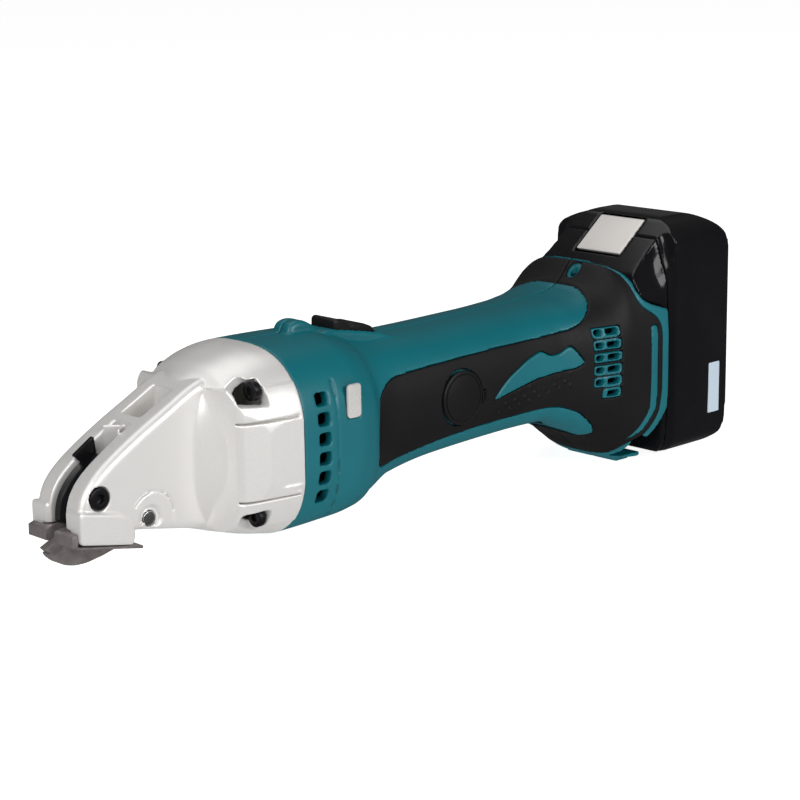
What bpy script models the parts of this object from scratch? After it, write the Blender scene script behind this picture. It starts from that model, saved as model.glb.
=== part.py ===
"""Cordless double-cut sheet metal shear: a silver head with a centre blade between two side cutters,
a moulded motor housing with a rubber grip, and a slide-on battery. Lengths in this file are in
millimetres and are turned into metres when a mesh is made. The tool's own frame has X along the motor
(nose at -X, battery at +X), the left side at -Y and Z up; one empty lifts it onto its foot."""

import math

import bmesh
import bpy
from mathutils import Matrix, Vector

MM = 0.001
GAP = 0.3                       # kept between pieces that touch
TOOL_ORIGIN = (25.75, 0.0, 57.2)  # where the tool's own frame sits above the ground under its middle

# driving dimensions
MOTOR_Z = -3.0                  # height of the motor's axis
CRANK_DROP = 14.4               # crank axis below the motor axis: half the module times all the teeth
MODULE = 0.6
PINION_TEETH = 12
GEAR_TEETH = 36
CRANK_THROW = 1.6
PIVOT = (-172.0, -26.0)         # x, z of the centre blade's pivot pin
NOSE_BOLT = (-196.0, -13.0)     # x, z of the bolt across the nose
PLATE_Y = 15.0                  # outer face of the nose plates
SLOT_Y = 5.0                    # half the width of the strip slot
BLADE_Y = 2.4                   # half the thickness of the centre blade
WALL = 3.0                      # moulded wall
GRIP_DEPTH = 1.6                # thickness of the soft grip
BATTERY_X = 161.5
BATTERY_Y = 37.5
BATTERY_TOP = 58.6
BATTERY_BOTTOM = -52.0
BUTTON_Y = 13.5
CELL_R = 9.0
CELL_LENGTH = 65.0
CRANK_Z = MOTOR_Z - CRANK_DROP

# x, half width, top, bottom, squareness of each housing section
HOUSING = [
    (-112.0, 39.3, 34.0, -46.0, 2.7), (-82.0, 39.0, 33.6, -45.5, 2.6), (-71.0, 37.0, 31.6, -44.8, 2.5),
    (-62.0, 31.8, 28.2, -42.0, 2.5), (-48.0, 29.8, 26.2, -35.4, 2.5), (-20.0, 29.5, 25.8, -31.0, 2.6),
    (25.0, 29.5, 26.4, -29.2, 2.6), (50.0, 30.5, 27.0, -28.8, 2.8), (64.0, 34.0, 27.6, -32.6, 3.0),
    (76.0, 37.4, 29.8, -38.6, 3.0), (82.0, 38.6, 32.8, -41.6, 2.9), (87.0, 39.1, 38.4, -45.0, 2.8),
    (91.0, 39.3, 42.0, -48.4, 2.8), (104.0, 39.5, 43.5, -55.8, 3.2), (115.5, 39.5, 43.5, -56.4, 3.6),
]
HEAD = [
    (-112.0, 39.3, 34.0, -46.0, 2.7), (-118.0, 38.6, 33.8, -45.0, 2.7), (-126.0, 37.2, 32.6, -43.4, 2.7),
    (-134.0, 35.4, 30.4, -41.2, 2.6), (-138.5, 33.4, 29.0, -40.0, 2.5), (-142.0, 28.0, 27.0, -39.0, 2.4),
    (-145.5, 20.5, 24.8, -38.0, 2.5), (-149.0, 15.6, 22.2, -36.6, 3.0), (-152.0, 14.6, 20.0, -35.6, 3.6),
]

# the soft grip's edge in side view, in four runs, and the vents, caps and windows in the sides
GRIP_FRONT = [(-36.0, 13.0), (-50.0, 12.2), (-56.0, 10.6), (-62.5, 6.0), (-66.0, -4.0), (-66.5, -14.0),
              (-63.4, -23.2), (-60.0, -24.4)]
GRIP_LOWER = [(-46.8, -23.0), (-23.1, -20.0), (1.4, -18.2), (27.0, -17.7), (45.0, -17.6), (54.0, -19.0),
              (63.8, -22.9), (72.0, -29.2), (79.4, -36.4), (79.2, -39.6), (67.6, -34.0), (55.3, -28.6),
              (44.0, -26.4), (40.0, -31.0), (40.0, -70.0)]
GRIP_REAR = [(97.2, -70.0), (96.0, -44.0), (104.0, -38.5), (109.5, -30.0), (110.8, -20.0), (110.8, 10.0),
             (109.0, 14.5), (105.8, 17.3), (100.0, 20.8), (96.4, 24.9), (95.6, 30.7), (94.6, 36.0),
             (91.6, 39.9), (89.6, 41.0), (89.4, 60.0)]
GRIP_UPPER = [(83.2, 60.0), (83.2, 36.0), (82.2, 33.6), (80.2, 30.8), (77.5, 28.0), (74.9, 25.4), (70.0, 21.6),
              (64.4, 18.2), (57.0, 16.0), (40.0, 15.0), (14.0, 14.6), (-11.0, 13.9)]
VENT_ROWS = 6
VENT_PITCH = 5.7
VENT_TOP = 13.4
VENT_COLUMNS = ((68.8, 73.2), (74.8, 81.8))
CAP_CENTRE = (-12.3, -3.0)      # x, z of the brush caps
CAP_R = 12.0
WINDOW = (-88.6, -80.6, 2.6, 17.4)  # x and z limits of the indicator windows

# the nose plate's edge in side view, the head screws (x, z) and the underside of the side cutters
NOSE_TOP = [(-140.0, 26.0), (-150.0, 22.6), (-160.0, 17.2), (-174.0, 10.2), (-186.0, 3.4), (-194.0, -1.8),
            (-199.6, -6.4), (-203.4, -11.4), (-205.4, -17.4)]
NOSE_BOTTOM = [(-205.0, -29.4), (-181.0, -34.6), (-179.6, -29.4), (-168.0, -31.6), (-148.0, -35.6),
               (-140.0, -37.0)]
SCREW_SPOTS = ((-127.5, 20.6), (-127.0, -32.4))   # x, z of the head screws on each side
SCREW_Y = 27.8
CUTTER_FRONT_Z = -30.2          # underside of the side cutters at the front and at the rear
CUTTER_REAR_Z = -36.6

# half width and height of the front view of the pack, from the shoulder up
WIDE = [(BATTERY_Y, 47.0), (36.2, 51.0), (30.0, 55.6), (20.0, 58.4), (12.0, 66.0)]
NARROW = [(33.8, 28.0), (29.0, 37.0), (27.6, 49.0), (23.6, 56.4), (18.0, 66.0)]
FLARE = ((118.6, 0.08), (120.6, 0.32), (121.6, 0.62), (122.2, 1.0))   # x and share of the full width

part_collection = bpy.data.collections.new("sheet_metal_shear")


# ---------------------------------------------------------------- scene and materials

def clear_scene():
    for old in list(bpy.data.objects):
        bpy.data.objects.remove(old, do_unlink=True)
    bpy.context.scene.collection.children.link(part_collection)


def material(name, colour, roughness, metallic=0.0):
    found = bpy.data.materials.get(name)
    if found:
        return found
    made = bpy.data.materials.new(name)
    made.use_nodes = True
    shader = made.node_tree.nodes["Principled BSDF"]
    shader.inputs["Base Color"].default_value = (*colour, 1.0)
    shader.inputs["Roughness"].default_value = roughness
    shader.inputs["Metallic"].default_value = metallic
    made.diffuse_color = (*colour, 1.0)
    return made


def teal_plastic():
    return material("teal_plastic", (0.0, 0.115, 0.145), 0.38)


def grip_rubber():
    return material("grip_rubber", (0.016, 0.015, 0.016), 0.6)


def cast_metal():
    return material("cast_metal", (0.62, 0.60, 0.57), 0.42, 0.6)


def tool_steel():
    return material("tool_steel", (0.17, 0.145, 0.135), 0.35, 0.9)


def dark_steel():
    return material("dark_steel", (0.03, 0.03, 0.032), 0.4, 0.8)


def bright_steel():
    return material("bright_steel", (0.55, 0.55, 0.56), 0.3, 1.0)


def black_plastic():
    return material("black_plastic", (0.012, 0.012, 0.013), 0.35)


def gloss_black():
    return material("gloss_black", (0.006, 0.006, 0.007), 0.15)


def light_plastic():
    return material("light_plastic", (0.72, 0.68, 0.65), 0.35)


def copper():
    return material("copper", (0.6, 0.28, 0.14), 0.35, 1.0)


def carbon():
    return material("carbon", (0.03, 0.03, 0.03), 0.7)


def window_plastic():
    return material("window_plastic", (0.47, 0.44, 0.40), 0.3)


def cell_wrap():
    return material("cell_wrap", (0.1, 0.35, 0.2), 0.4)


def board_green():
    return material("board_green", (0.02, 0.14, 0.06), 0.5)


# ---------------------------------------------------------------- shape helpers

def make_object(name, mesh, finish=None):
    thing = bpy.data.objects.new(name, mesh)
    part_collection.objects.link(thing)
    if finish:
        mesh.materials.clear()
        mesh.materials.append(finish)
    return thing


def from_bmesh(name, bm, finish=None):
    """Object from a mesh drawn in millimetres."""
    bmesh.ops.scale(bm, vec=(MM, MM, MM), verts=bm.verts)
    bmesh.ops.recalc_face_normals(bm, faces=bm.faces)
    mesh = bpy.data.meshes.new(name)
    bm.to_mesh(mesh)
    bm.free()
    return make_object(name, mesh, finish)


def box(name, low, high, finish=None, bevel=0.0, segments=2):
    bm = bmesh.new()
    bmesh.ops.create_cube(bm, size=1.0)
    size = [high[i] - low[i] for i in range(3)]
    middle = [(high[i] + low[i]) / 2 for i in range(3)]
    bmesh.ops.scale(bm, vec=size, verts=bm.verts)
    bmesh.ops.translate(bm, vec=middle, verts=bm.verts)
    if bevel:
        bmesh.ops.bevel(bm, geom=bm.edges[:], offset=bevel, segments=segments, affect="EDGES", profile=0.5)
    return from_bmesh(name, bm, finish)


def cylinder(name, radius, start, end, finish=None, segments=24, end_radius=None):
    """A round bar from one point to the other, with an optional second radius."""
    start, end = Vector(start), Vector(end)
    bm = bmesh.new()
    bmesh.ops.create_cone(bm, cap_ends=True, segments=segments, radius1=radius,
                          radius2=radius if end_radius is None else end_radius,
                          depth=(end - start).length)
    turn = (end - start).to_track_quat("Z", "Y").to_matrix().to_4x4()
    bmesh.ops.transform(bm, matrix=Matrix.Translation((start + end) / 2) @ turn, verts=bm.verts)
    return from_bmesh(name, bm, finish)


def prism(name, outline, low, high, finish=None, axis="y", bevel=0.0, segments=2):
    """An outline drawn in the plane across the axis and pulled along it from low to high."""
    place = {"y": lambda p, t: (p[0], t, p[1]), "x": lambda p, t: (t, p[0], p[1]),
             "z": lambda p, t: (p[0], p[1], t)}[axis]
    bm = bmesh.new()
    near = [bm.verts.new(place(point, low)) for point in outline]
    far = [bm.verts.new(place(point, high)) for point in outline]
    count = len(outline)
    bm.faces.new(near)
    bm.faces.new(list(reversed(far)))
    sides = [bm.faces.new((near[i], far[i], far[(i + 1) % count], near[(i + 1) % count]))
             for i in range(count)]
    bmesh.ops.recalc_face_normals(bm, faces=bm.faces)
    if bevel:
        rims = {edge for face in bm.faces if face not in sides for edge in face.edges}
        bmesh.ops.bevel(bm, geom=list(rims), offset=bevel, segments=segments, affect="EDGES", profile=0.5)
    return from_bmesh(name, bm, finish)


def arc(centre, radius, start_deg, end_deg, count):
    """Points along an arc, both ends included."""
    points = []
    for i in range(count):
        angle = math.radians(start_deg + (end_deg - start_deg) * i / (count - 1))
        points.append((centre[0] + radius * math.cos(angle), centre[1] + radius * math.sin(angle)))
    return points


def turned(name, profile, centre, finish, segments=24, axis="x"):
    """A profile of (radius, distance) turned about an axis, top of the profile first."""
    mesh = bpy.data.meshes.new(name)
    points = [(radius * MM, 0.0, along * MM) for radius, along in profile]
    mesh.from_pydata(points, [(i, (i + 1) % len(points)) for i in range(len(points))], [])
    thing = make_object(name, mesh, finish)
    screw = thing.modifiers.new("turn", "SCREW")
    screw.axis = "Z"
    screw.steps = screw.render_steps = segments
    screw.use_merge_vertices = True
    screw.merge_threshold = 0.00001
    screw.use_normal_calculate = True
    apply_modifiers(thing)
    turn = {"x": Matrix.Rotation(math.pi / 2, 4, "Y"), "y": Matrix.Rotation(-math.pi / 2, 4, "X"),
            "z": Matrix.Identity(4)}[axis]
    thing.data.transform(Matrix.Translation(Vector(centre) * MM) @ turn)
    tidy(thing, outward=True)
    return thing


def ring(name, outer, inner, x_low, x_high, z, finish, segments=24, y=0.0):
    """A plain ring around an axis along X."""
    profile = [(inner, x_low), (outer, x_low), (outer, x_high), (inner, x_high)]
    return turned(name, profile, (0.0, y, z), finish, segments)


def slope_at(stations, i, column):
    """Monotone slope of one column at a station, zero at a turning point."""
    if i == 0 or i == len(stations) - 1:
        return 0.0
    before = (stations[i][column] - stations[i - 1][column]) / (stations[i][0] - stations[i - 1][0])
    after = (stations[i + 1][column] - stations[i][column]) / (stations[i + 1][0] - stations[i][0])
    if before * after <= 0:
        return 0.0
    return 2 * before * after / (before + after)


def between(stations, i, t):
    """Station values part of the way between two stations, without overshoot."""
    span = stations[i + 1][0] - stations[i][0]
    values = [stations[i][0] + span * t]
    for column in range(1, len(stations[0])):
        a, b = stations[i][column], stations[i + 1][column]
        slope_a, slope_b = slope_at(stations, i, column) * span, slope_at(stations, i + 1, column) * span
        values.append((2 * t**3 - 3 * t**2 + 1) * a + (t**3 - 2 * t**2 + t) * slope_a
                      + (-2 * t**3 + 3 * t**2) * b + (t**3 - t**2) * slope_b)
    return values


def section_points(x, half_width, top, bottom, power, count):
    """A rounded section across X, more square as the power grows."""
    centre, half_height = (top + bottom) / 2, (top - bottom) / 2
    points = []
    for i in range(count):
        angle = 2 * math.pi * (i + 0.5) / count
        c, s = math.cos(angle), math.sin(angle)
        points.append((x, half_width * math.copysign(abs(c) ** (2 / power), c),
                       centre + half_height * math.copysign(abs(s) ** (2 / power), s)))
    return points


def loft(name, stations, inset=0.0, count=28, steps=1, ends=(0.0, 0.0), finish=None):
    """A closed skin through the sections; ends push the first and last section along X."""
    rows = []
    for i in range(len(stations) - 1):
        rows += [between(stations, i, step / steps) for step in range(steps)]
    rows.append(list(stations[-1]))
    rows[0][0] += ends[0]
    rows[-1][0] += ends[1]
    bm = bmesh.new()
    rings = []
    for x, half_width, top, bottom, power in rows:
        points = section_points(x, half_width - inset, top - inset, bottom + inset, power, count)
        rings.append([bm.verts.new(point) for point in points])
    for a, b in zip(rings, rings[1:]):
        for i in range(count):
            bm.faces.new((a[i], a[(i + 1) % count], b[(i + 1) % count], b[i]))
    bmesh.ops.triangulate(bm, faces=bm.faces)
    bm.faces.new(list(reversed(rings[0])))
    bm.faces.new(rings[-1])
    return from_bmesh(name, bm, finish)


def apply_modifiers(thing):
    bpy.context.view_layer.update()
    graph = bpy.context.evaluated_depsgraph_get()
    mesh = bpy.data.meshes.new_from_object(thing.evaluated_get(graph))
    thing.modifiers.clear()
    thing.data = mesh
    return thing


def tidy(thing, distance=0.0005, outward=False):
    """Weld the slivers that a cut leaves, and point the faces outward where asked."""
    bm = bmesh.new()
    bm.from_mesh(thing.data)
    bmesh.ops.remove_doubles(bm, verts=bm.verts, dist=distance * MM)
    if outward:
        bmesh.ops.recalc_face_normals(bm, faces=bm.faces)
    bm.to_mesh(thing.data)
    bm.free()
    return thing


def boolean(thing, others, operation):
    """Cut, join or intersect a piece with others, and remove the others."""
    for other in others:
        step = thing.modifiers.new("boolean", "BOOLEAN")
        step.operation = operation
        step.solver = "EXACT"
        step.object = other
        apply_modifiers(thing)
        bpy.data.objects.remove(other, do_unlink=True)
    return tidy(thing)


def cut(thing, *others):
    return boolean(thing, others, "DIFFERENCE")


def join(thing, *others):
    return boolean(thing, others, "UNION")


def keep(thing, *others):
    return boolean(thing, others, "INTERSECT")


def copy_of(thing, name):
    twin = make_object(name, thing.data.copy())
    twin.matrix_world = thing.matrix_world
    return twin


def mirrored(thing, name, finish=None):
    """The same piece on the other side of the tool."""
    twin = copy_of(thing, name)
    twin.data.transform(Matrix.Scale(-1, 4, (0, 1, 0)))
    twin.data.flip_normals()
    if finish:
        twin.data.materials.clear()
        twin.data.materials.append(finish)
    return twin


def origin_at(thing, point):
    """Put a moving piece's origin on its joint axis."""
    place = Vector(point) * MM
    thing.data.transform(Matrix.Translation(-place))
    thing.location = place
    return thing


def side_name(base, side):
    return f"{base}_{'left' if side < 0 else 'right'}"


# ---------------------------------------------------------------- housing and grips



def grown(outline, distance):
    """The outline moved outward by a distance, for a clearance round an insert."""
    area = sum(a[0] * b[1] - b[0] * a[1] for a, b in zip(outline, outline[1:] + outline[:1]))
    turn = 1 if area > 0 else -1
    points = []
    for i, point in enumerate(outline):
        before, after = Vector(outline[i - 1]), Vector(outline[(i + 1) % len(outline)])
        first = (Vector(point) - before).normalized()
        second = (after - Vector(point)).normalized()
        normal = Vector((first.y + second.y, -(first.x + second.x))) * turn
        scale = distance * 2 / max(normal.length_squared, 0.8)
        points.append((point[0] + normal.x * scale, point[1] + normal.y * scale))
    return points


def grip_outline():
    return GRIP_FRONT + GRIP_LOWER + GRIP_REAR + GRIP_UPPER


def swoosh_outline():
    """The curved accent that stays in housing colour inside the grip."""
    return [(7.5, -8.0), (12.0, -3.2), (18.0, 1.2), (24.4, 4.4), (30.0, 7.0), (38.5, 9.6), (44.0, 6.4),
            (50.0, 6.6), (56.0, 9.6), (59.0, 6.4), (63.2, 1.0), (58.0, -1.2), (50.0, -1.4), (36.0, -2.4),
            (22.0, -5.0)]


def rib_outline():
    """The upright accent strip beside the battery."""
    return [(103.2, 12.5), (107.6, 12.5), (107.6, -27.0), (101.0, -37.5), (95.0, -42.0), (99.0, -35.0),
            (103.2, -27.0)]


def vent_boxes(side, margin, depth):
    """Cutters for the rear vents, grown by a margin."""
    made = []
    for row in range(VENT_ROWS):
        z = VENT_TOP - row * VENT_PITCH
        for low, high in VENT_COLUMNS:
            y = sorted((side * depth, side * 45.0))
            made.append(box("vent", (low - margin, y[0], z - 1.6 - margin),
                            (high + margin, y[1], z + 1.6 + margin)))
    return made


def insert_prisms(side, growth):
    """The accents that stand through the grip: swoosh, rib and the vent surround."""
    low, high = sorted((side * 22.0, side * 46.0))
    shapes = [prism("swoosh", grown(swoosh_outline(), growth), low, high),
              prism("rib", grown(rib_outline(), growth), low, high)]
    top, bottom = VENT_TOP + 2.3, VENT_TOP - (VENT_ROWS - 1) * VENT_PITCH - 2.3
    shapes.append(box("surround", (67.8 - growth, low, bottom - growth),
                      (82.8 + growth, high, top + growth)))
    return shapes


def grips():
    """Soft grip on each side: the skin between two lofts, inside its outline."""
    piece = loft("grip_right", HOUSING)
    inner = loft("grip_inner", HOUSING, inset=GRIP_DEPTH, ends=(-1.0, 1.0))
    piece = cut(piece, inner)
    piece = keep(piece, prism("grip_outline", grip_outline(), GAP / 2, 60.0))
    piece = cut(piece, seat_space(0.0), *insert_prisms(1, GAP))
    x, z = CAP_CENTRE
    hole = cylinder("cap_hole", CAP_R + GAP, (x, 20.0, z), (x, 60.0, z), segments=32)
    piece = cut(piece, hole, box("notch", (-1.5, 20.0, -7.6), (2.6, 60.0, -1.6)))
    piece.data.materials.clear()
    piece.data.materials.append(grip_rubber())
    return piece, mirrored(piece, "grip_left")


def seat_space(clearance):
    """The room above and behind the sloping rear rim of the housing."""
    outline = [(91.2 - clearance, 75.0), (91.2 - clearance, 41.0), (93.6 - clearance, 39.4),
               (96.6 - clearance, 36.6), (98.0 - clearance, 33.4), (98.2 - clearance, 29.2), (100.2, 25.0),
               (105.0, 22.3), (112.8, 19.6), (115.4, 19.2 - clearance), (125.0, 19.0), (125.0, 75.0)]
    return prism("seat_space", outline, -60.0, 60.0)


def switch_bed():
    """Raised bed on top of the barrel that carries the slide switch."""
    hump = [(-90.6, 26.0), (-90.4, 34.6), (-88.4, 37.6), (-85.0, 38.6), (-80.6, 38.2), (-76.6, 36.0),
            (-72.0, 33.0), (-60.0, 30.0), (-60.0, 24.0)]
    bed = [(-80.0, 24.0), (-78.0, 31.6), (-72.0, 33.4), (-66.0, 32.8), (-52.0, 30.2), (-40.0, 27.6),
           (-32.0, 24.0)]
    return join(prism("hump", hump, -5.6, 5.6, bevel=1.6, segments=1),
                prism("switch_bed", bed, -10.4, 10.4, bevel=1.2, segments=1))


def housing_shell():
    """Both halves in one, before they are parted."""
    foot = [(105.0, -48.0), (105.0, -56.4), (106.6, -57.2), (115.4, -57.2), (115.4, -48.0)]
    foot = prism("foot", foot, -15.0, 15.0)
    shell = join(loft("housing", HOUSING), switch_bed(), foot)
    inside = HOUSING[:-3] + [(92.0, *HOUSING[-3][1:])]
    cavity = loft("cavity", inside, inset=WALL + GRIP_DEPTH, ends=(-2.0, 0.0))
    shell = cut(shell, cavity, seat_space(0.3))
    shell = cut(shell, box("pocket", (98.8, -34.5, BATTERY_BOTTOM - 0.6), (120.0, 34.5, 60.0)),
                box("plug_hole", (90.0, -19.0, -40.0), (104.0, 19.0, -16.0)))
    for side in (-1, 1):
        y = sorted((side * 22.0, side * 60.0))
        corner = [(118.0, -22.0), (114.0, -31.0), (108.0, -39.5), (99.0, -47.0), (95.0, -60.0),
                  (118.0, -60.0)]
        shell = cut(shell, prism("corner", corner, *y))
    return shell


def cut_switch_slot(shell):
    bed = [(-67.6, 45.0), (-67.6, 30.6), (-60.0, 29.4), (-37.2, 25.4), (-37.2, 45.0)]
    shell = cut(shell, prism("switch_recess", bed, -8.1, 8.1))
    return cut(shell, box("switch_hole", (-62.4, -4.0, 15.0), (-44.0, 4.0, 40.0)))


def cut_side(shell, side):
    """Recesses and openings in one side: the grip bed, vents, window and brush cap hole."""
    bed = loft("bed", HOUSING, inset=GRIP_DEPTH + GAP, ends=(-1.0, 1.0))
    blank = cut(prism("blank", grown(grip_outline(), GAP), *sorted((side * 0.01, side * 62.0))), bed)
    blank = cut(blank, *insert_prisms(side, 0.0))
    shell = cut(shell, blank)
    shell = cut(shell, *vent_boxes(side, 0.0, 20.0))
    x_low, x_high, z_low, z_high = WINDOW
    y = sorted((side * 37.2, side * 50.0))
    shell = cut(shell, box("window_bed", (x_low, y[0], z_low), (x_high, y[1], z_high)))
    y = sorted((side * 15.0, side * 60.0))
    shell = cut(shell, cylinder("cap_seat", CAP_R - 1.6, (CAP_CENTRE[0], y[0], CAP_CENTRE[1]),
                                (CAP_CENTRE[0], y[1], CAP_CENTRE[1]), segments=32))
    for slot in range(6):
        z = 13.2 - slot * 8.1
        y = sorted((side * 20.0, side * 60.0))
        shell = cut(shell, box("slot", (-104.2, y[0], z - 2.8), (-97.6, y[1], z + 2.8)))
    for x, z in SCREW_SPOTS:
        z -= math.copysign(0.5, z)
        shell = cut(shell, cylinder("screw_hole", 2.3, (-120.0, side * SCREW_Y, z),
                                    (-99.0, side * SCREW_Y, z), segments=12))
    return shell


def housing_halves():
    shell = housing_shell()
    shell = cut_side(cut_switch_slot(shell), 1)
    shell.name = "housing_right"
    shell = keep(shell, box("half_space", (-140.0, GAP / 2, -80.0), (140.0, 70.0, 80.0)))
    shell.data.materials.clear()
    shell.data.materials.append(teal_plastic())
    return shell, mirrored(shell, "housing_left")


def indicator_window(side):
    x_low, x_high, z_low, z_high = WINDOW
    y = sorted((side * (37.2 + GAP), side * 39.0))
    return box(side_name("indicator_window", side), (x_low + GAP, y[0], z_low + GAP),
               (x_high - GAP, y[1], z_high - GAP), window_plastic(), bevel=0.6, segments=1)


def brush_cap(side):
    """Round cap over a carbon brush, flush with the grip and with a key tab behind."""
    x, z = CAP_CENTRE
    cap = cylinder(side_name("brush_cap", side), CAP_R, (x, side * 28.2, z), (x, side * 30.0, z),
                   black_plastic(), segments=32)
    stem = cylinder("cap_stem", CAP_R - 2.0, (x, side * 21.5, z), (x, side * 29.0, z), segments=32)
    return join(cap, stem)


# ---------------------------------------------------------------- cast head



def nose_outline():
    return NOSE_TOP + NOSE_BOTTOM


def side_block(side):
    """Thicker foot of the nose plate that carries a side cutter."""
    outline = [(-206.4, -18.2), (-205.8, -16.6), (-188.0, -20.4), (-184.0, -22.6), (-181.0, -27.0),
               (-180.2, -30.0), (-181.6, -34.4), (-206.4, -29.3)]
    return prism("side_block", outline, *sorted((side * 6.0, side * 16.4)), bevel=0.6, segments=1)


def screw_pockets():
    """Teardrop recesses for the four head screws, open towards the nose."""
    cutters = []
    for side in (-1, 1):
        for x, z in SCREW_SPOTS:
            y = side * SCREW_Y
            up = math.copysign(1.0, z)
            cutters.append(cylinder("pocket", 4.9, (x, y, z - up * 0.5),
                                    (x - 16.0, side * 29.0, z - up * 0.5), segments=20))
            cutters.append(cylinder("pocket_mouth", 4.6, (x - 1.0, y, z - up * 0.5),
                                    (x - 8.0, side * 44.0, z + up * 1.0), segments=20, end_radius=6.5))
    return cutters


def screw_bores():
    return [cylinder("bore", 2.35, (-140.0, side * SCREW_Y, z - math.copysign(0.5, z)),
                     (-108.0, side * SCREW_Y, z - math.copysign(0.5, z)), segments=12)
            for side in (-1, 1) for x, z in SCREW_SPOTS]


def gear_housing():
    """The whole casting: round rear bell, two nose plates, blocks and the passages inside."""
    casting = loft("gear_housing", HEAD, ends=(-GAP, 0.0))
    casting = join(casting, prism("nose", nose_outline(), -PLATE_Y, PLATE_Y, bevel=1.6, segments=2))
    casting = join(casting, side_block(-1), side_block(1))
    inside = HEAD[:4] + [(-138.0, 29.0, 28.0, -38.5, 2.6), (-143.6, 19.0, 23.6, -36.0, 3.0)]
    inner = loft("bell_cavity", inside, inset=3.6, ends=(2.0, 0.0))
    rear_pocket = [(-152.0, 40.0), (-152.0, 3.0), (-168.6, -1.5), (-168.6, 40.0)]
    front_pocket = [(-172.6, 40.0), (-172.6, -11.0), (-190.0, -19.0), (-198.0, -24.6), (-215.0, -24.6),
                    (-215.0, 40.0)]
    blade_way = [(-215.0, -20.0), (-186.0, -17.0), (-166.0, -10.5), (-154.0, -2.0), (-138.0, 2.5),
                 (-138.0, -33.4), (-150.0, -33.2), (-158.0, -30.4), (-163.0, -40.0), (-215.0, -40.0)]
    room = cylinder("bearing_room", 9.6, (-147.0, 0.0, CRANK_Z), (-130.0, 0.0, CRANK_Z), segments=28)
    casting = cut(casting, inner, room, prism("rear_pocket", rear_pocket, -6.2, 6.2),
                  prism("front_pocket", front_pocket, -SLOT_Y, SLOT_Y),
                  prism("blade_way", blade_way, -BLADE_Y - 0.5, BLADE_Y + 0.5))
    for side in (-1, 1):
        y = sorted((side * 1.0, side * 9.4))
        casting = cut(casting, box("cutter_channel", (-215.0, y[0], -40.0), (-176.7, y[1], -24.6)),
                      prism("lip_way", [(-215.0, -28.2), (-176.7, -35.0), (-176.7, -40.0), (-215.0, -40.0)],
                            *sorted((side * 1.0, side * 17.0))))
    x, z = NOSE_BOLT
    casting = cut(casting, cylinder("bolt_bore", 2.8, (x, -30.0, z), (x, 30.0, z), segments=16),
                  cylinder("bolt_seat", 4.9, (x, -30.0, z), (x, -12.5, z), segments=24))
    x, z = PIVOT
    casting = cut(casting, cylinder("pin_bore", 4.0, (x, -30.0, z), (x, 30.0, z), segments=20),
                  *screw_pockets(), *screw_bores())
    casting.data.materials.clear()
    casting.data.materials.append(cast_metal())
    return casting


def side_cutter(side):
    """Fixed cutter bar with a wide front end, a lip under the block and a low rear end."""
    low = BLADE_Y + 0.25
    bar_outline = [(-209.4, CUTTER_FRONT_Z), (-177.2, CUTTER_REAR_Z), (-177.2, -33.0), (-184.0, -25.0),
                   (-206.8, -25.0), (-209.4, -25.8)]
    y = sorted((side * low, side * 9.0))
    bar = prism(side_name("side_cutter", side), bar_outline, *y, tool_steel())
    front = prism("front", [(-209.4, CUTTER_FRONT_Z), (-206.8, CUTTER_FRONT_Z - 0.53), (-206.8, -25.0),
                            (-209.4, -25.8)],
                  *sorted((side * (low + 0.5), side * 14.4)))
    lip = prism("lip", [(-208.4, CUTTER_FRONT_Z - 0.2), (-177.2, CUTTER_REAR_Z), (-177.2, CUTTER_REAR_Z + 1.2),
                        (-208.4, CUTTER_FRONT_Z + 0.4)], *sorted((side * (low + 0.5), side * 16.0)))
    return join(bar, front, lip)


def centre_blade():
    """Beaked moving blade with its pivot boss, its arm and the fork round the crank's bearing."""
    px, pz = PIVOT
    beak = [(-186.0, -22.6), (-200.0, -26.4), (-213.0, -32.2), (-211.6, -35.4), (-208.8, -38.0), (-204.8, -40.3),
            (-200.0, -41.6), (-194.6, -41.6), (-187.0, -40.4), (-180.5, -38.8), (-175.0, -35.2)]
    arm = [(-170.0, -31.4), (-160.0, -28.0), (-149.4, -30.0), (-149.4, -32.2), (-137.6, -32.2), (-137.6, -29.6),
           (-146.6, -29.4), (-146.6, -8.6), (-137.6, -8.4), (-137.6, -5.4), (-149.4, -5.4), (-152.0, -12.0),
           (-166.0, -19.4), (-172.0, -20.4)]
    blade = prism("centre_blade", beak + arm, -BLADE_Y, BLADE_Y, tool_steel())
    bore = cylinder("pin_bore", 3.3, (px, -10.0, pz), (px, 10.0, pz), segments=24)
    return origin_at(cut(blade, bore), (px, 0.0, pz))


def pivot_pin():
    x, z = PIVOT
    return cylinder("pivot_pin", 2.95, (x, -14.0, z), (x, 14.0, z), bright_steel(), segments=20)


def nose_bolt():
    """Socket-head bolt across the nose, with a hexagon recess."""
    x, z = NOSE_BOLT
    head = cylinder("nose_bolt", 4.4, (x, -15.2, z), (x, -12.8, z), dark_steel(), segments=24)
    shank = cylinder("shank", 2.1, (x, -13.5, z), (x, 14.2, z), segments=16)
    return cut(join(head, shank), cylinder("socket", 2.2, (x, -17.0, z), (x, -13.4, z), segments=6))


def strip_deflector():
    """Curved dark plate that closes the front of the slot and turns the cut strip upward."""
    outer = [(-185.0, 0.4), (-193.6, -4.9), (-198.4, -9.2), (-201.7, -13.8), (-203.3, -18.6), (-203.6, -24.0)]
    inner = [(-202.0, -24.0), (-201.7, -19.2), (-200.2, -14.6), (-197.4, -10.4), (-192.9, -6.3), (-184.2, -1.2)]
    return prism("strip_deflector", outer + inner, -SLOT_Y + GAP, SLOT_Y - GAP, dark_steel())


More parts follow.
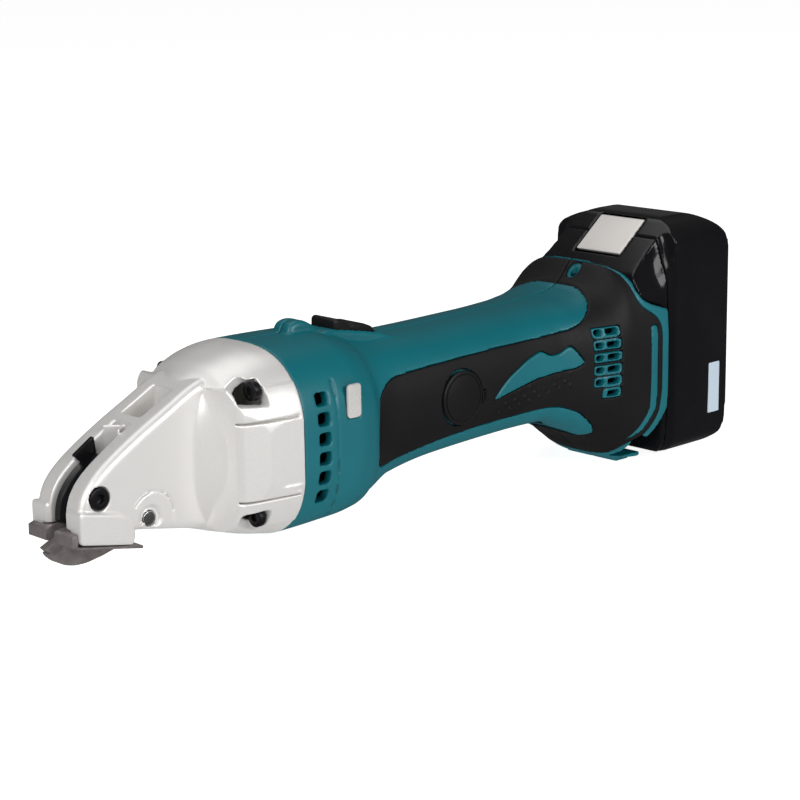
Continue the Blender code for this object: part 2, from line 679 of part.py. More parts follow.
def head_screws():
    made = []
    for side in (-1, 1):
        for place, (x, z) in zip(("top", "bottom"), SCREW_SPOTS):
            y, z = side * SCREW_Y, z - math.copysign(0.5, z)
            name = f"{side_name('head_screw', side)}_{place}"
            screw = cylinder(name, 4.0, (x - 3.4, y, z), (x - 0.3, y, z), dark_steel(), segments=20)
            screw = join(screw, cylinder("shank", 2.0, (x - 1.0, y, z), (-101.0, y, z), segments=12))
            made.append(cut(screw, cylinder("drive", 1.9, (x - 5.0, y, z), (x - 2.0, y, z), segments=6)))
    return made


# ---------------------------------------------------------------- crank and motor

def involute(base_r, r):
    """Angle of an involute of the base circle, where it reaches radius r."""
    return math.tan(math.acos(base_r / r)) - math.acos(base_r / r)


def gear_outline(teeth, phase, backlash=0.10):
    """Involute gear outline around the origin, with a tooth centred at the phase angle."""
    pitch_r = MODULE * teeth / 2
    base_r = pitch_r * math.cos(math.radians(20))
    tip_r, root_r = pitch_r + 0.9 * MODULE, pitch_r - 1.25 * MODULE
    half_at_pitch = math.pi / (2 * teeth) - backlash / (2 * pitch_r)
    start_r = max(base_r, root_r + 0.02)
    flank = [start_r, tip_r] if teeth > 20 else [start_r, pitch_r, tip_r]
    points = []
    for tooth in range(teeth):
        centre = phase + 2 * math.pi * tooth / teeth
        halves = [half_at_pitch + involute(base_r, pitch_r) - involute(base_r, r) for r in flank]
        left = [(r, centre - half) for r, half in zip(flank, halves)]
        right = [(r, centre + half) for r, half in zip(reversed(flank), reversed(halves))]
        points += [(root_r, centre - halves[0])] + left + right + [(root_r, centre + halves[0])]
    return [(r * math.cos(a), r * math.sin(a)) for r, a in points]


def gear(name, teeth, phase, x_low, x_high, z, bore, finish):
    outline = [(y, z + up) for y, up in gear_outline(teeth, phase)]
    wheel = prism(name, outline, x_low, x_high, finish, axis="x")
    wheel = cut(wheel, cylinder("bore", bore, (x_low - 5, 0.0, z), (x_high + 5, 0.0, z), segments=20))
    return origin_at(wheel, (0.0, 0.0, z))


def crank_gear():
    """Large gear on the crank; a tooth gap faces the pinion above it."""
    return gear("crank_gear", GEAR_TEETH, math.pi / 2 + math.pi / GEAR_TEETH, -125.6, -119.0, CRANK_Z, 3.3,
                bright_steel())


def pinion():
    return gear("pinion", PINION_TEETH, -math.pi / 2, -126.0, -118.6, MOTOR_Z, 2.3, bright_steel())


def crank_shaft():
    shaft = cylinder("crank_shaft", 3.0, (-136.0, 0.0, CRANK_Z), (-114.4, 0.0, CRANK_Z), bright_steel())
    shoulder = cylinder("shoulder", 4.6, (-136.2, 0.0, CRANK_Z), (-134.6, 0.0, CRANK_Z), segments=24)
    throw = cylinder("throw", 4.0, (-145.2, 0.0, CRANK_Z + CRANK_THROW),
                     (-135.0, 0.0, CRANK_Z + CRANK_THROW),
                     segments=24)
    return origin_at(join(shaft, shoulder, throw), (0.0, 0.0, CRANK_Z))


def needle_bearing():
    bearing = ring("needle_bearing", 6.4, 4.3, -145.0, -137.4, CRANK_Z + CRANK_THROW, bright_steel(), 28)
    return origin_at(bearing, (0.0, 0.0, CRANK_Z))


def bearing_plate():
    """Disc between the head and the motor that holds the inner bearings."""
    ends = [(-116.4, 34.0, 29.0, -40.6, 2.5), (-112.6, 34.0, 29.0, -40.6, 2.5)]
    plate = loft("bearing_plate", ends, count=28,
                 finish=cast_metal(), steps=1)
    holes = [cylinder("crank_seat", 6.8, (-130.0, 0.0, CRANK_Z), (-114.0, 0.0, CRANK_Z), segments=28),
             cylinder("motor_hole", 6.0, (-130.0, 0.0, MOTOR_Z), (-100.0, 0.0, MOTOR_Z), segments=28)]
    for side in (-1, 1):
        for x, z in SCREW_SPOTS:
            z -= math.copysign(0.5, z)
            holes.append(cylinder("pass", 2.6, (-130.0, side * SCREW_Y, z),
                                  (-100.0, side * SCREW_Y, z), segments=12))
    return cut(plate, *holes)


def bearings():
    steel = bright_steel()
    return [ring("crank_bearing_front", 7.6, 3.06, -133.8, -129.0, CRANK_Z, steel, 28),
            ring("crank_bearing_rear", 6.5, 3.06, -118.4, -114.3, CRANK_Z, steel, 28),
            ring("motor_bearing_front", 9.0, 4.06, -110.0, -104.6, MOTOR_Z, steel, 28),
            ring("motor_bearing_rear", 8.0, 3.06, 1.0, 6.0, MOTOR_Z, steel, 28)]


def armature_shaft():
    shaft = cylinder("armature_shaft", 4.0, (-116.0, 0, MOTOR_Z), (-4.0, 0, MOTOR_Z), bright_steel())
    thin = cylinder("thin_end", 2.0, (-127.5, 0, MOTOR_Z), (-115.0, 0, MOTOR_Z), segments=16)
    tail = cylinder("tail", 3.0, (-5.0, 0, MOTOR_Z), (7.0, 0, MOTOR_Z))
    return origin_at(join(shaft, thin, tail), (0.0, 0.0, MOTOR_Z))


def armature_core():
    """Slotted iron stack on the shaft."""
    core = ring("armature_core", 17.0, 4.3, -62.0, -26.0, MOTOR_Z, dark_steel(), 36)
    for slot in range(8):
        angle = 2 * math.pi * slot / 8
        y, z = 17.5 * math.cos(angle), MOTOR_Z + 17.5 * math.sin(angle)
        core = cut(core, cylinder("slot", 2.0, (-70.0, y, z), (-20.0, y, z), segments=8))
    return origin_at(core, (0.0, 0.0, MOTOR_Z))


def windings():
    """Copper end turns beside the core, one ring at each end."""
    made = []
    for name, low, high in (("winding_front", -70.0, -62.3), ("winding_rear", -25.7, -18.6)):
        made.append(origin_at(ring(name, 14.5, 4.3, low, high, MOTOR_Z, copper(), 24), (0, 0, MOTOR_Z)))
    return made


def commutator():
    return origin_at(ring("commutator", 9.0, 4.3, -18.2, -6.0, MOTOR_Z, copper(), 24), (0.0, 0.0, MOTOR_Z))


def cooling_fan():
    """Fan disc with radial blades behind the vents."""
    fan = ring("cooling_fan", 26.0, 4.3, -99.0, -96.6, MOTOR_Z, black_plastic(), 36)
    fan = join(fan, ring("hub", 8.0, 4.2, -98.0, -88.0, MOTOR_Z, None, 24))
    for blade in range(8):
        angle = 2 * math.pi * blade / 8
        vane = box("vane", (-97.4, 9.5, MOTOR_Z - 0.8), (-88.0, 25.0, MOTOR_Z + 0.8))
        turn = Matrix.Rotation(angle, 4, "X")
        middle = Matrix.Translation((0, 0, MOTOR_Z * MM))
        vane.data.transform(middle @ turn @ middle.inverted())
        fan = join(fan, vane)
    fan.data.materials.clear()
    fan.data.materials.append(black_plastic())
    return origin_at(fan, (0.0, 0.0, MOTOR_Z))


def magnet_yoke():
    return ring("magnet_yoke", 21.6, 17.8, -64.0, -24.0, MOTOR_Z, dark_steel(), 36)


def brush_set(side):
    """Brush holder tube and the carbon brush inside it, reaching the commutator."""
    x, z = CAP_CENTRE
    y = sorted((side * 11.5, side * 21.2))
    holder = box(side_name("brush_holder", side), (x - 5.0, y[0], z - 4.5), (x + 5.0, y[1], z + 4.5),
                 copper())
    hole = box("hole", (x - 3.2, y[0] - 5, z - 2.7), (x + 3.2, y[1] + 5, z + 2.7))
    y = sorted((side * 9.3, side * 19.0))
    brush = box(side_name("carbon_brush", side), (x - 2.9, y[0], z - 2.4), (x + 2.9, y[1], z + 2.4),
                carbon())
    return cut(holder, hole), brush


# ---------------------------------------------------------------- switch, electronics, fasteners

def switch_knob():
    """Slide button: a thin plate with a ribbed lump in front and a low hump behind."""
    base = [(-66.6, 31.4), (-66.4, 36.0), (-64.6, 36.8), (-58.8, 34.8), (-58.0, 33.0), (-55.0, 33.4),
            (-50.0, 32.8), (-45.0, 30.8), (-43.0, 28.6), (-42.8, 27.2), (-60.0, 30.2)]
    knob = prism("switch_knob", base, -7.6, 7.6, black_plastic(), bevel=0.5, segments=1)
    stem = box("stem", (-60.6, -2.4, 21.1), (-50.0, 2.4, 32.0))
    return join(knob, stem)


def switch_bar():
    """Link that carries the button's travel back to the switch."""
    return box("switch_bar", (-60.6, -3.0, 19.0), (16.0, 3.0, 20.8), black_plastic())


def electronics():
    box_switch = box("switch_box", (24.0, -8.0, -10.0), (52.0, 8.0, 16.0), black_plastic(), bevel=0.8,
                     segments=1)
    board = box("controller_board", (60.0, -18.0, -20.0), (62.0, 18.0, 20.0), board_green())
    block = box("terminal_block", (92.4, -18.4, -39.4), (98.0, 18.4, -16.6), black_plastic())
    tabs = [box("tab", (97.0, y - 0.8, -35.0), (103.4, y + 0.8, -31.4)) for y in (-12.0, 12.0)]
    return box_switch, board, join(block, *tabs)


# ---------------------------------------------------------------- battery

def battery_body_outline():
    """Side view of the whole pack, front at the low x side."""
    return [(99.2, 34.8), (99.2, 29.9), (101.2, 25.7), (105.6, 23.2), (113.0, 20.4), (116.0, 20.0),
            (116.0, BATTERY_BOTTOM), (152.0, BATTERY_BOTTOM), (158.4, -49.4), (BATTERY_X, -43.0),
            (BATTERY_X, 45.0), (158.4, 52.6), (153.0, 57.2), (148.0, BATTERY_TOP), (132.6, BATTERY_TOP),
            (129.8, 58.2), (127.6, 57.0)]




def pack_section(share):
    """Front view outline of the pack between its narrow front and its full width behind."""
    top = [(a[0] + (b[0] - a[0]) * share, a[1] + (b[1] - a[1]) * share) for a, b in zip(NARROW, WIDE)]
    waist = BATTERY_Y - (1.0 - share) * 2.6
    low = [(waist, 20.0), (waist, -46.0), (34.0 - (1.0 - share) * 2.0, -50.4), (28.0, -54.0)]
    return top[::-1] + low


def battery_blank(inset=0.0):
    side = battery_body_outline()
    if inset:
        side = grown(side, -inset)
    blank = prism("blank", side, -50.0, 50.0)
    stations = [(90.0, 0.0), *FLARE, (180.0, 1.0)]
    bm = bmesh.new()
    rings = []
    for x, share in stations:
        half = pack_section(share)
        outline = [(y - inset, z - inset if z > 50.0 else z + inset if z < -50.0 else z) for y, z in half]
        points = outline + [(-y, z) for y, z in reversed(outline)]
        shift = inset / 2 if 100.0 < x < 170.0 else 0.0
        rings.append([bm.verts.new((x + shift, y, z)) for y, z in points])
    count = len(rings[0])
    for a, b in zip(rings, rings[1:]):
        for i in range(count):
            bm.faces.new((a[i], a[(i + 1) % count], b[(i + 1) % count], b[i]))
    bm.faces.new(list(reversed(rings[0])))
    bm.faces.new(rings[-1])
    bmesh.ops.recalc_face_normals(bm, faces=bm.faces)
    bmesh.ops.triangulate(bm, faces=bm.faces)
    return keep(blank, from_bmesh("front_view", bm))


def battery_cases():
    """Front case with the rail block and the rear case, hollow for the cells."""
    whole = battery_blank()
    rail = box("rail", (100.2, -33.0, -30.0), (119.0, 33.0, 29.0))
    whole = join(whole, rail)
    whole = cut(whole, battery_blank(2.2), box("terminal_way", (90.0, -20.0, -60.0), (110.0, 20.0, -12.0)))
    split = 119.2
    button_way = [(108.6, 33.0), (136.6, 38.0), (136.6, 57.0), (127.6, 57.0), (127.6, 66.0), (108.6, 66.0)]
    whole = cut(whole, prism("button_way", button_way, -BUTTON_Y - GAP, BUTTON_Y + GAP))
    whole = cut(whole, box("latch_way", (92.0, -10.4, 31.0), (116.0, 10.4, 34.0)))
    front = copy_of(whole, "battery_case_front")
    front = keep(front, box("front_part", (80.0, -60.0, -80.0), (split - GAP / 2, 60.0, 80.0)))
    rear = keep(whole, box("rear_part", (split + GAP / 2, -60.0, -80.0), (180.0, 60.0, 80.0)))
    rear.name = "battery_case_rear"
    for piece in (front, rear):
        piece.data.materials.clear()
        piece.data.materials.append(gloss_black())
    return front, rear


def battery_button():
    outline = [(109.0, 42.8), (126.8, 56.6), (128.2, 56.6), (129.4, 54.8), (111.4, 41.2)]
    return prism("battery_button", outline, -BUTTON_Y, BUTTON_Y, light_plastic(), bevel=0.5, segments=1)


def battery_latch():
    outline = [(98.9, 33.7), (98.9, 31.3), (113.0, 31.3), (117.2, 41.6), (117.2, 44.4), (114.2, 42.2),
               (111.4, 33.7)]
    return prism("battery_latch", outline, -10.0, 10.0, dark_steel())


def battery_cells():
    made = []
    for row in range(5):
        for column in range(2):
            x = 131.6 + column * 18.3
            z = -37.0 + row * 18.4
            name = f"cell_{row * 2 + column + 1:02d}"
            made.append(cylinder(name, CELL_R, (x, -CELL_LENGTH / 2, z), (x, CELL_LENGTH / 2, z),
                                 cell_wrap(), segments=20))
    return made


# ---------------------------------------------------------------- assembly

def empty_at(name, place):
    node = bpy.data.objects.new(name, None)
    part_collection.objects.link(node)
    node.location = Vector(place) * MM
    return node


def finish_shading():
    for thing in part_collection.objects:
        if thing.type == "MESH":
            thing.data.shade_smooth()
            thing.data.set_sharp_from_angle(angle=math.radians(35))


def main():
    clear_scene()
    housing_halves()
    grips()
    for side in (-1, 1):
        indicator_window(side)
        brush_cap(side)
        side_cutter(side)
        brush_set(side)
    gear_housing()
    centre_blade()
    pivot_pin()
    nose_bolt()
    strip_deflector()
    head_screws()
    bearing_plate()
    bearings()
    crank_gear()
    pinion()
    crank_shaft()
    needle_bearing()
    armature_shaft()
    armature_core()
    windings()
    commutator()
    cooling_fan()
    magnet_yoke()
    switch_knob()
    switch_bar()
    electronics()
    battery_cases()
    battery_button()
    battery_latch()
    battery_cells()
    finish_shading()
    frame = empty_at("tool_frame", TOOL_ORIGIN)
    for thing in part_collection.objects:
        if thing.type == "MESH":
            thing.parent = frame


main()
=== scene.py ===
import math

import bmesh
import bpy
from mathutils import Matrix, Vector


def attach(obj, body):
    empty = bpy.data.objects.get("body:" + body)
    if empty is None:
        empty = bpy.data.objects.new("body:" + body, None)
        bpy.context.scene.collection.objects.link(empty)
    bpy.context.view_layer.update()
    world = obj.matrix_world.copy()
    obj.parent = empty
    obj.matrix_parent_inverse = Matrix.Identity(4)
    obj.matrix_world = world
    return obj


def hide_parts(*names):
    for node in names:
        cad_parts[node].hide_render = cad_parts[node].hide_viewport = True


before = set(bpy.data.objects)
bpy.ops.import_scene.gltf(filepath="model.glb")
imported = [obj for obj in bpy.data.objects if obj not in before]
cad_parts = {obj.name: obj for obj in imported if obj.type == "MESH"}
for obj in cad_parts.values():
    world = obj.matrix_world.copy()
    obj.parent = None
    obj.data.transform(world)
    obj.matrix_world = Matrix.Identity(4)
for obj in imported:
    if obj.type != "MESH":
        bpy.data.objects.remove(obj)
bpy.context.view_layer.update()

MM = 0.001
GAP = 0.3
ORIGIN = (25.75, 0.0, 57.2)      # the tool's own frame above the ground, as in the CAD
BODY = "tool"

# driving dimensions in millimetres, in the tool's own frame: nose at -X, battery at +X
MOTOR_Z = -3.0
PIVOT = (-172.0, -26.0)
NOSE_BOLT = (-196.0, -13.0)
PLATE_Y = 15.0
SLOT_Y = 5.0
BLADE_Y = 2.4
WALL = 3.0
GRIP_DEPTH = 1.6
BATTERY_X = 161.5
BATTERY_Y = 37.5
BATTERY_TOP = 58.6
BATTERY_BOTTOM = -52.0
BUTTON_Y = 13.5
CAP_CENTRE = (-12.3, -3.0)
CAP_R = 12.0
SCREW_SPOTS = ((-127.5, 20.6), (-127.0, -32.4))
SCREW_Y = 27.8
CUTTER_FRONT_Z = -30.2
CUTTER_REAR_Z = -36.6

# x, half width, top, bottom, squareness
HOUSING = [
    (-112.0, 39.3, 34.0, -46.0, 2.7), (-82.0, 39.0, 33.6, -45.5, 2.6), (-71.0, 37.0, 31.6, -44.8, 2.5),
    (-62.0, 31.8, 28.2, -42.0, 2.5), (-48.0, 29.8, 26.2, -35.4, 2.5), (-20.0, 29.5, 25.8, -31.0, 2.6),
    (25.0, 29.5, 26.4, -29.2, 2.6), (50.0, 30.5, 27.0, -28.8, 2.8), (64.0, 34.0, 27.6, -32.6, 3.0),
    (76.0, 37.4, 29.8, -38.6, 3.0), (82.0, 38.6, 32.8, -41.6, 2.9), (87.0, 39.1, 38.4, -45.0, 2.8),
    (91.0, 39.2, 42.0, -48.4, 2.8), (104.0, 39.3, 43.5, -55.8, 3.2), (115.5, 39.3, 43.5, -56.4, 3.6),
]
HEAD = [
    (-112.0, 39.3, 34.0, -46.0, 2.7), (-118.0, 38.6, 33.8, -45.0, 2.7), (-126.0, 37.2, 32.6, -43.4, 2.7),
    (-134.0, 35.4, 30.4, -41.2, 2.6), (-138.5, 33.4, 29.0, -40.0, 2.5), (-142.0, 28.0, 27.0, -39.0, 2.4),
    (-145.5, 20.5, 24.8, -38.0, 2.5), (-149.0, 15.6, 22.2, -36.6, 3.0), (-152.0, 14.6, 20.0, -35.6, 3.6),
]


# ---------------------------------------------------------------- mesh helpers

def link(name, mesh):
    thing = bpy.data.objects.new(name, mesh)
    bpy.context.scene.collection.objects.link(thing)
    return thing


def from_bmesh(name, bm):
    bmesh.ops.scale(bm, vec=(MM, MM, MM), verts=bm.verts)
    bmesh.ops.translate(bm, vec=Vector(ORIGIN) * MM, verts=bm.verts)
    bmesh.ops.recalc_face_normals(bm, faces=bm.faces)
    mesh = bpy.data.meshes.new(name)
    bm.to_mesh(mesh)
    bm.free()
    return link(name, mesh)


def box(name, low, high, bevel=0.0, segments=3):
    bm = bmesh.new()
    bmesh.ops.create_cube(bm, size=1.0)
    bmesh.ops.scale(bm, vec=[high[i] - low[i] for i in range(3)], verts=bm.verts)
    bmesh.ops.translate(bm, vec=[(high[i] + low[i]) / 2 for i in range(3)], verts=bm.verts)
    if bevel:
        bmesh.ops.bevel(bm, geom=bm.edges[:], offset=bevel, segments=segments, affect="EDGES", profile=0.5)
    return from_bmesh(name, bm)


def cylinder(name, radius, start, end, segments=64, end_radius=None, bevel=0.0):
    start, end = Vector(start), Vector(end)
    bm = bmesh.new()
    bmesh.ops.create_cone(bm, cap_ends=True, segments=segments, radius1=radius,
                          radius2=radius if end_radius is None else end_radius, depth=(end - start).length)
    if bevel:
        rims = [edge for edge in bm.edges if any(len(face.verts) > 4 for face in edge.link_faces)]
        bmesh.ops.bevel(bm, geom=rims, offset=bevel, segments=3, affect="EDGES", profile=0.5)
    turn = (end - start).to_track_quat("Z", "Y").to_matrix().to_4x4()
    bmesh.ops.transform(bm, matrix=Matrix.Translation((start + end) / 2) @ turn, verts=bm.verts)
    return from_bmesh(name, bm)


def prism(name, outline, low, high, axis="y", bevel=0.0, segments=3):
    place = {"y": lambda p, t: (p[0], t, p[1]), "x": lambda p, t: (t, p[0], p[1]),
             "z": lambda p, t: (p[0], p[1], t)}[axis]
    bm = bmesh.new()
    near = [bm.verts.new(place(point, low)) for point in outline]
    far = [bm.verts.new(place(point, high)) for point in outline]
    count = len(outline)
    bm.faces.new(near)
    bm.faces.new(list(reversed(far)))
    sides = [bm.faces.new((near[i], far[i], far[(i + 1) % count], near[(i + 1) % count]))
             for i in range(count)]
    bmesh.ops.recalc_face_normals(bm, faces=bm.faces)
    if bevel:
        rims = {edge for face in bm.faces if face not in sides for edge in face.edges}
        bmesh.ops.bevel(bm, geom=list(rims), offset=bevel, segments=segments, affect="EDGES", profile=0.5)
    return from_bmesh(name, bm)


def rounded(outline, radius, steps=5):
    """The outline with its corners rounded by short curves."""
    points = []
    count = len(outline)
    for i in range(count):
        corner = Vector(outline[i])
        before, after = Vector(outline[i - 1]) - corner, Vector(outline[(i + 1) % count]) - corner
        reach = min(radius, before.length * 0.45, after.length * 0.45)
        start, end = corner + before.normalized() * reach, corner + after.normalized() * reach
        for step in range(steps + 1):
            t = step / steps
            point = start * (1 - t) ** 2 + corner * 2 * t * (1 - t) + end * t ** 2
            points.append((point.x, point.y))
    return points


def grown(outline, distance):
    area = sum(a[0] * b[1] - b[0] * a[1] for a, b in zip(outline, outline[1:] + outline[:1]))
    turn = 1 if area > 0 else -1
    points = []
    for i, point in enumerate(outline):
        before, after = Vector(outline[i - 1]), Vector(outline[(i + 1) % len(outline)])
        first = (Vector(point) - before).normalized()
        second = (after - Vector(point)).normalized()
        normal = Vector((first.y + second.y, -(first.x + second.x))) * turn
        scale = distance * 2 / max(normal.length_squared, 0.8)
        points.append((point[0] + normal.x * scale, point[1] + normal.y * scale))
    return points


def slope_at(stations, i, column):
    if i == 0 or i == len(stations) - 1:
        return 0.0
    before = (stations[i][column] - stations[i - 1][column]) / (stations[i][0] - stations[i - 1][0])
    after = (stations[i + 1][column] - stations[i][column]) / (stations[i + 1][0] - stations[i][0])
    if before * after <= 0:
        return 0.0
    return 2 * before * after / (before + after)


def between(stations, i, t):
    span = stations[i + 1][0] - stations[i][0]
    values = [stations[i][0] + span * t]
    for column in range(1, len(stations[0])):
        a, b = stations[i][column], stations[i + 1][column]
        slope_a, slope_b = slope_at(stations, i, column) * span, slope_at(stations, i + 1, column) * span
        values.append((2 * t**3 - 3 * t**2 + 1) * a + (t**3 - 2 * t**2 + t) * slope_a
                      + (-2 * t**3 + 3 * t**2) * b + (t**3 - t**2) * slope_b)
    return values


def loft(name, stations, inset=0.0, count=128, pitch=2.0, ends=(0.0, 0.0)):
    """A closed skin through rounded-square sections, a section about every pitch millimetres."""
    rows = []
    for i in range(len(stations) - 1):
        steps = max(1, round(abs(stations[i + 1][0] - stations[i][0]) / pitch))
        rows += [between(stations, i, step / steps) for step in range(steps)]
    rows.append(list(stations[-1]))
    rows[0][0] += ends[0]
    rows[-1][0] += ends[1]
    bm = bmesh.new()
    rings = []
    for x, half_width, top, bottom, power in rows:
        half_width, top, bottom = half_width - inset, top - inset, bottom + inset
        centre, half_height = (top + bottom) / 2, (top - bottom) / 2
        ring = []
        for i in range(count):
            angle = 2 * math.pi * (i + 0.5) / count
            c, s = math.cos(angle), math.sin(angle)
            ring.append(bm.verts.new((x, half_width * math.copysign(abs(c) ** (2 / power), c),
                                      centre + half_height * math.copysign(abs(s) ** (2 / power), s))))
        rings.append(ring)
    for a, b in zip(rings, rings[1:]):
        for i in range(count):
            bm.faces.new((a[i], a[(i + 1) % count], b[(i + 1) % count], b[i]))
    bm.faces.new(list(reversed(rings[0])))
    bm.faces.new(rings[-1])
    bmesh.ops.triangulate(bm, faces=bm.faces)
    return from_bmesh(name, bm)


def apply_modifiers(thing):
    bpy.context.view_layer.update()
    graph = bpy.context.evaluated_depsgraph_get()
    mesh = bpy.data.meshes.new_from_object(thing.evaluated_get(graph))
    thing.modifiers.clear()
    old = thing.data
    thing.data = mesh
    bpy.data.meshes.remove(old)
    return thing


def boolean(thing, others, operation):
    for other in others:
        step = thing.modifiers.new("boolean", "BOOLEAN")
        step.operation = operation
        step.solver = "MANIFOLD"
        step.object = other
        apply_modifiers(thing)
        bpy.data.objects.remove(other, do_unlink=True)
    return thing


def cut(thing, *others):
    return boolean(thing, others, "DIFFERENCE")


def join(thing, *others):
    return boolean(thing, others, "UNION")


def keep(thing, *others):
    return boolean(thing, others, "INTERSECT")


def soften(thing, voxel, rounds, ratio=1.0):
    """Remesh evenly and relax, so every edge takes a small moulded radius."""
    remesh = thing.modifiers.new("even", "REMESH")
    remesh.mode = "VOXEL"
    remesh.voxel_size = voxel * MM
    smooth = thing.modifiers.new("relax", "SMOOTH")
    smooth.factor = 0.5
    smooth.iterations = rounds
    if ratio < 1.0:
        thin = thing.modifiers.new("thin", "DECIMATE")
        thin.ratio = ratio
    apply_modifiers(thing)
    thing.data.shade_smooth()
    return thing


def edged(thing, width=0.35, segments=2, angle=40):
    """Small bevels on a piece's sharp edges."""
    bevel = thing.modifiers.new("edges", "BEVEL")
    bevel.width = width * MM
    bevel.segments = segments
    bevel.limit_method = "ANGLE"
    bevel.angle_limit = math.radians(angle)
    apply_modifiers(thing)
    thing.data.shade_smooth()
    thing.data.set_sharp_from_angle(angle=math.radians(32))
    return thing


def mirrored(thing, name):
    twin = link(name, thing.data.copy())
    twin.data.transform(Matrix.Scale(-1, 4, (0, 1, 0)))
    twin.data.flip_normals()
    return twin


def piece(thing, finish, slot, *nodes, body=BODY):
    """Give a piece its material, body and the CAD nodes that it stands for."""
    thing.data.materials.clear()
    thing.data.materials.append(finish)
    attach(thing, body)
    if nodes:
        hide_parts(*nodes)
    return thing


# ---------------------------------------------------------------- materials

class Nodes:
    """Short helper for building a material's node tree."""

    def __init__(self, name):
        self.material = bpy.data.materials.new(name)
        self.material.use_nodes = True
        self.tree = self.material.node_tree
        self.shader = self.tree.nodes["Principled BSDF"]
        self.place = self.add("ShaderNodeTexCoord").outputs["Object"]

    def add(self, kind, **values):
        node = self.tree.nodes.new(kind)
        for key, value in values.items():
            if key in node.inputs:
                node.inputs[key].default_value = value
            else:
                setattr(node, key, value)
        return node

    def join(self, source, target):
        self.tree.links.new(source, target)
        return self

    def noise(self, scale, detail=4.0, roughness=0.5, stretch=None):
        node = self.add("ShaderNodeTexNoise", Scale=scale, Detail=detail, Roughness=roughness)
        if stretch:
            mapping = self.add("ShaderNodeMapping")
            mapping.inputs["Scale"].default_value = stretch
            self.join(self.place, mapping.inputs["Vector"]).join(mapping.outputs[0], node.inputs["Vector"])
        else:
            self.join(self.place, node.inputs["Vector"])
        return node.outputs["Fac"]

    def ramp(self, source, low, high, start=0.3, end=0.7):
        node = self.add("ShaderNodeValToRGB")
        node.color_ramp.elements[0].position = start
        node.color_ramp.elements[1].position = end
        node.color_ramp.elements[0].color = (*low, 1.0)
        node.color_ramp.elements[1].color = (*high, 1.0)
        self.join(source, node.inputs["Fac"])
        return node.outputs["Color"]

    def spread(self, source, low, high):
        node = self.add("ShaderNodeMapRange")
        node.inputs["To Min"].default_value = low
        node.inputs["To Max"].default_value = high
        self.join(source, node.inputs["Value"])
        return node.outputs["Result"]

    def bump(self, source, strength, distance, after=None):
        node = self.add("ShaderNodeBump", Strength=strength, Distance=distance)
        self.join(source, node.inputs["Height"])
        if after:
            self.join(after, node.inputs["Normal"])
        return node.outputs["Normal"]

    def set(self, **values):
        for key, value in values.items():
            self.shader.inputs[key.replace("_", " ")].default_value = value
        return self


def moulded(name, low, high, rough, grain=2600.0, bump=0.12, depth=0.00008, specular=0.5):
    """Moulded plastic: faint colour drift, uneven gloss and a fine spark-eroded grain."""
    n = Nodes(name)
    n.join(n.ramp(n.noise(26.0), low, high), n.shader.inputs["Base Color"])
    n.join(n.spread(n.noise(420.0, 3.0), rough[0], rough[1]), n.shader.inputs["Roughness"])
    n.join(n.bump(n.noise(grain, 2.0), bump, depth), n.shader.inputs["Normal"])
    n.set(Specular_IOR_Level=specular)
    return n.material


def cast_paint():
    """Silver painted casting: metallic flake, slight orange peel."""
    n = Nodes("cast_paint")
    flake = n.noise(5200.0, 1.0)
    n.join(n.ramp(flake, (0.74, 0.725, 0.70), (0.90, 0.885, 0.865), 0.25, 0.75),
           n.shader.inputs["Base Color"])
    n.join(n.spread(n.noise(300.0, 3.0), 0.34, 0.46), n.shader.inputs["Roughness"])
    peel = n.bump(n.noise(900.0, 2.0), 0.12, 0.0001)
    n.join(n.bump(flake, 0.05, 0.00005, peel), n.shader.inputs["Normal"])
    n.set(Metallic=0.45)
    return n.material


def ground_steel(name, low, high, rough=(0.28, 0.42), stretch=(1.0, 30.0, 1.0), metallic=0.9):
    """Steel with fine grinding lines."""
    n = Nodes(name)
    lines = n.noise(260.0, 5.0, 0.6, stretch)
    n.join(n.ramp(lines, low, high), n.shader.inputs["Base Color"])
    n.join(n.spread(lines, rough[0], rough[1]), n.shader.inputs["Roughness"])
    n.join(n.bump(lines, 0.1, 0.00006), n.shader.inputs["Normal"])
    n.set(Metallic=metallic)
    return n.material


def machined(name, colour, rough, metallic=0.9):
    """Turned or pressed metal with a faint drift in tone and gloss."""
    n = Nodes(name)
    low = tuple(channel * 0.8 for channel in colour)
    n.join(n.ramp(n.noise(180.0), low, colour), n.shader.inputs["Base Color"])
    n.join(n.spread(n.noise(700.0, 3.0), rough - 0.06, rough + 0.08), n.shader.inputs["Roughness"])
    n.join(n.bump(n.noise(1800.0, 2.0), 0.08, 0.00005), n.shader.inputs["Normal"])
    n.set(Metallic=metallic)
    return n.material


def laminated(name, low, high, pitch, rough, metallic):
    """Stacked sheets or wound wire: fine rings along the motor's axis."""
    n = Nodes(name)
    wave = n.add("ShaderNodeTexWave", Scale=pitch, Distortion=0.6, wave_type="BANDS", bands_direction="X")
    n.join(n.place, wave.inputs["Vector"])
    n.join(n.ramp(wave.outputs["Fac"], low, high), n.shader.inputs["Base Color"])
    n.join(n.spread(wave.outputs["Fac"], rough, rough + 0.15), n.shader.inputs["Roughness"])
    n.join(n.bump(wave.outputs["Fac"], 0.3, 0.0001), n.shader.inputs["Normal"])
    n.set(Metallic=metallic)
    return n.material


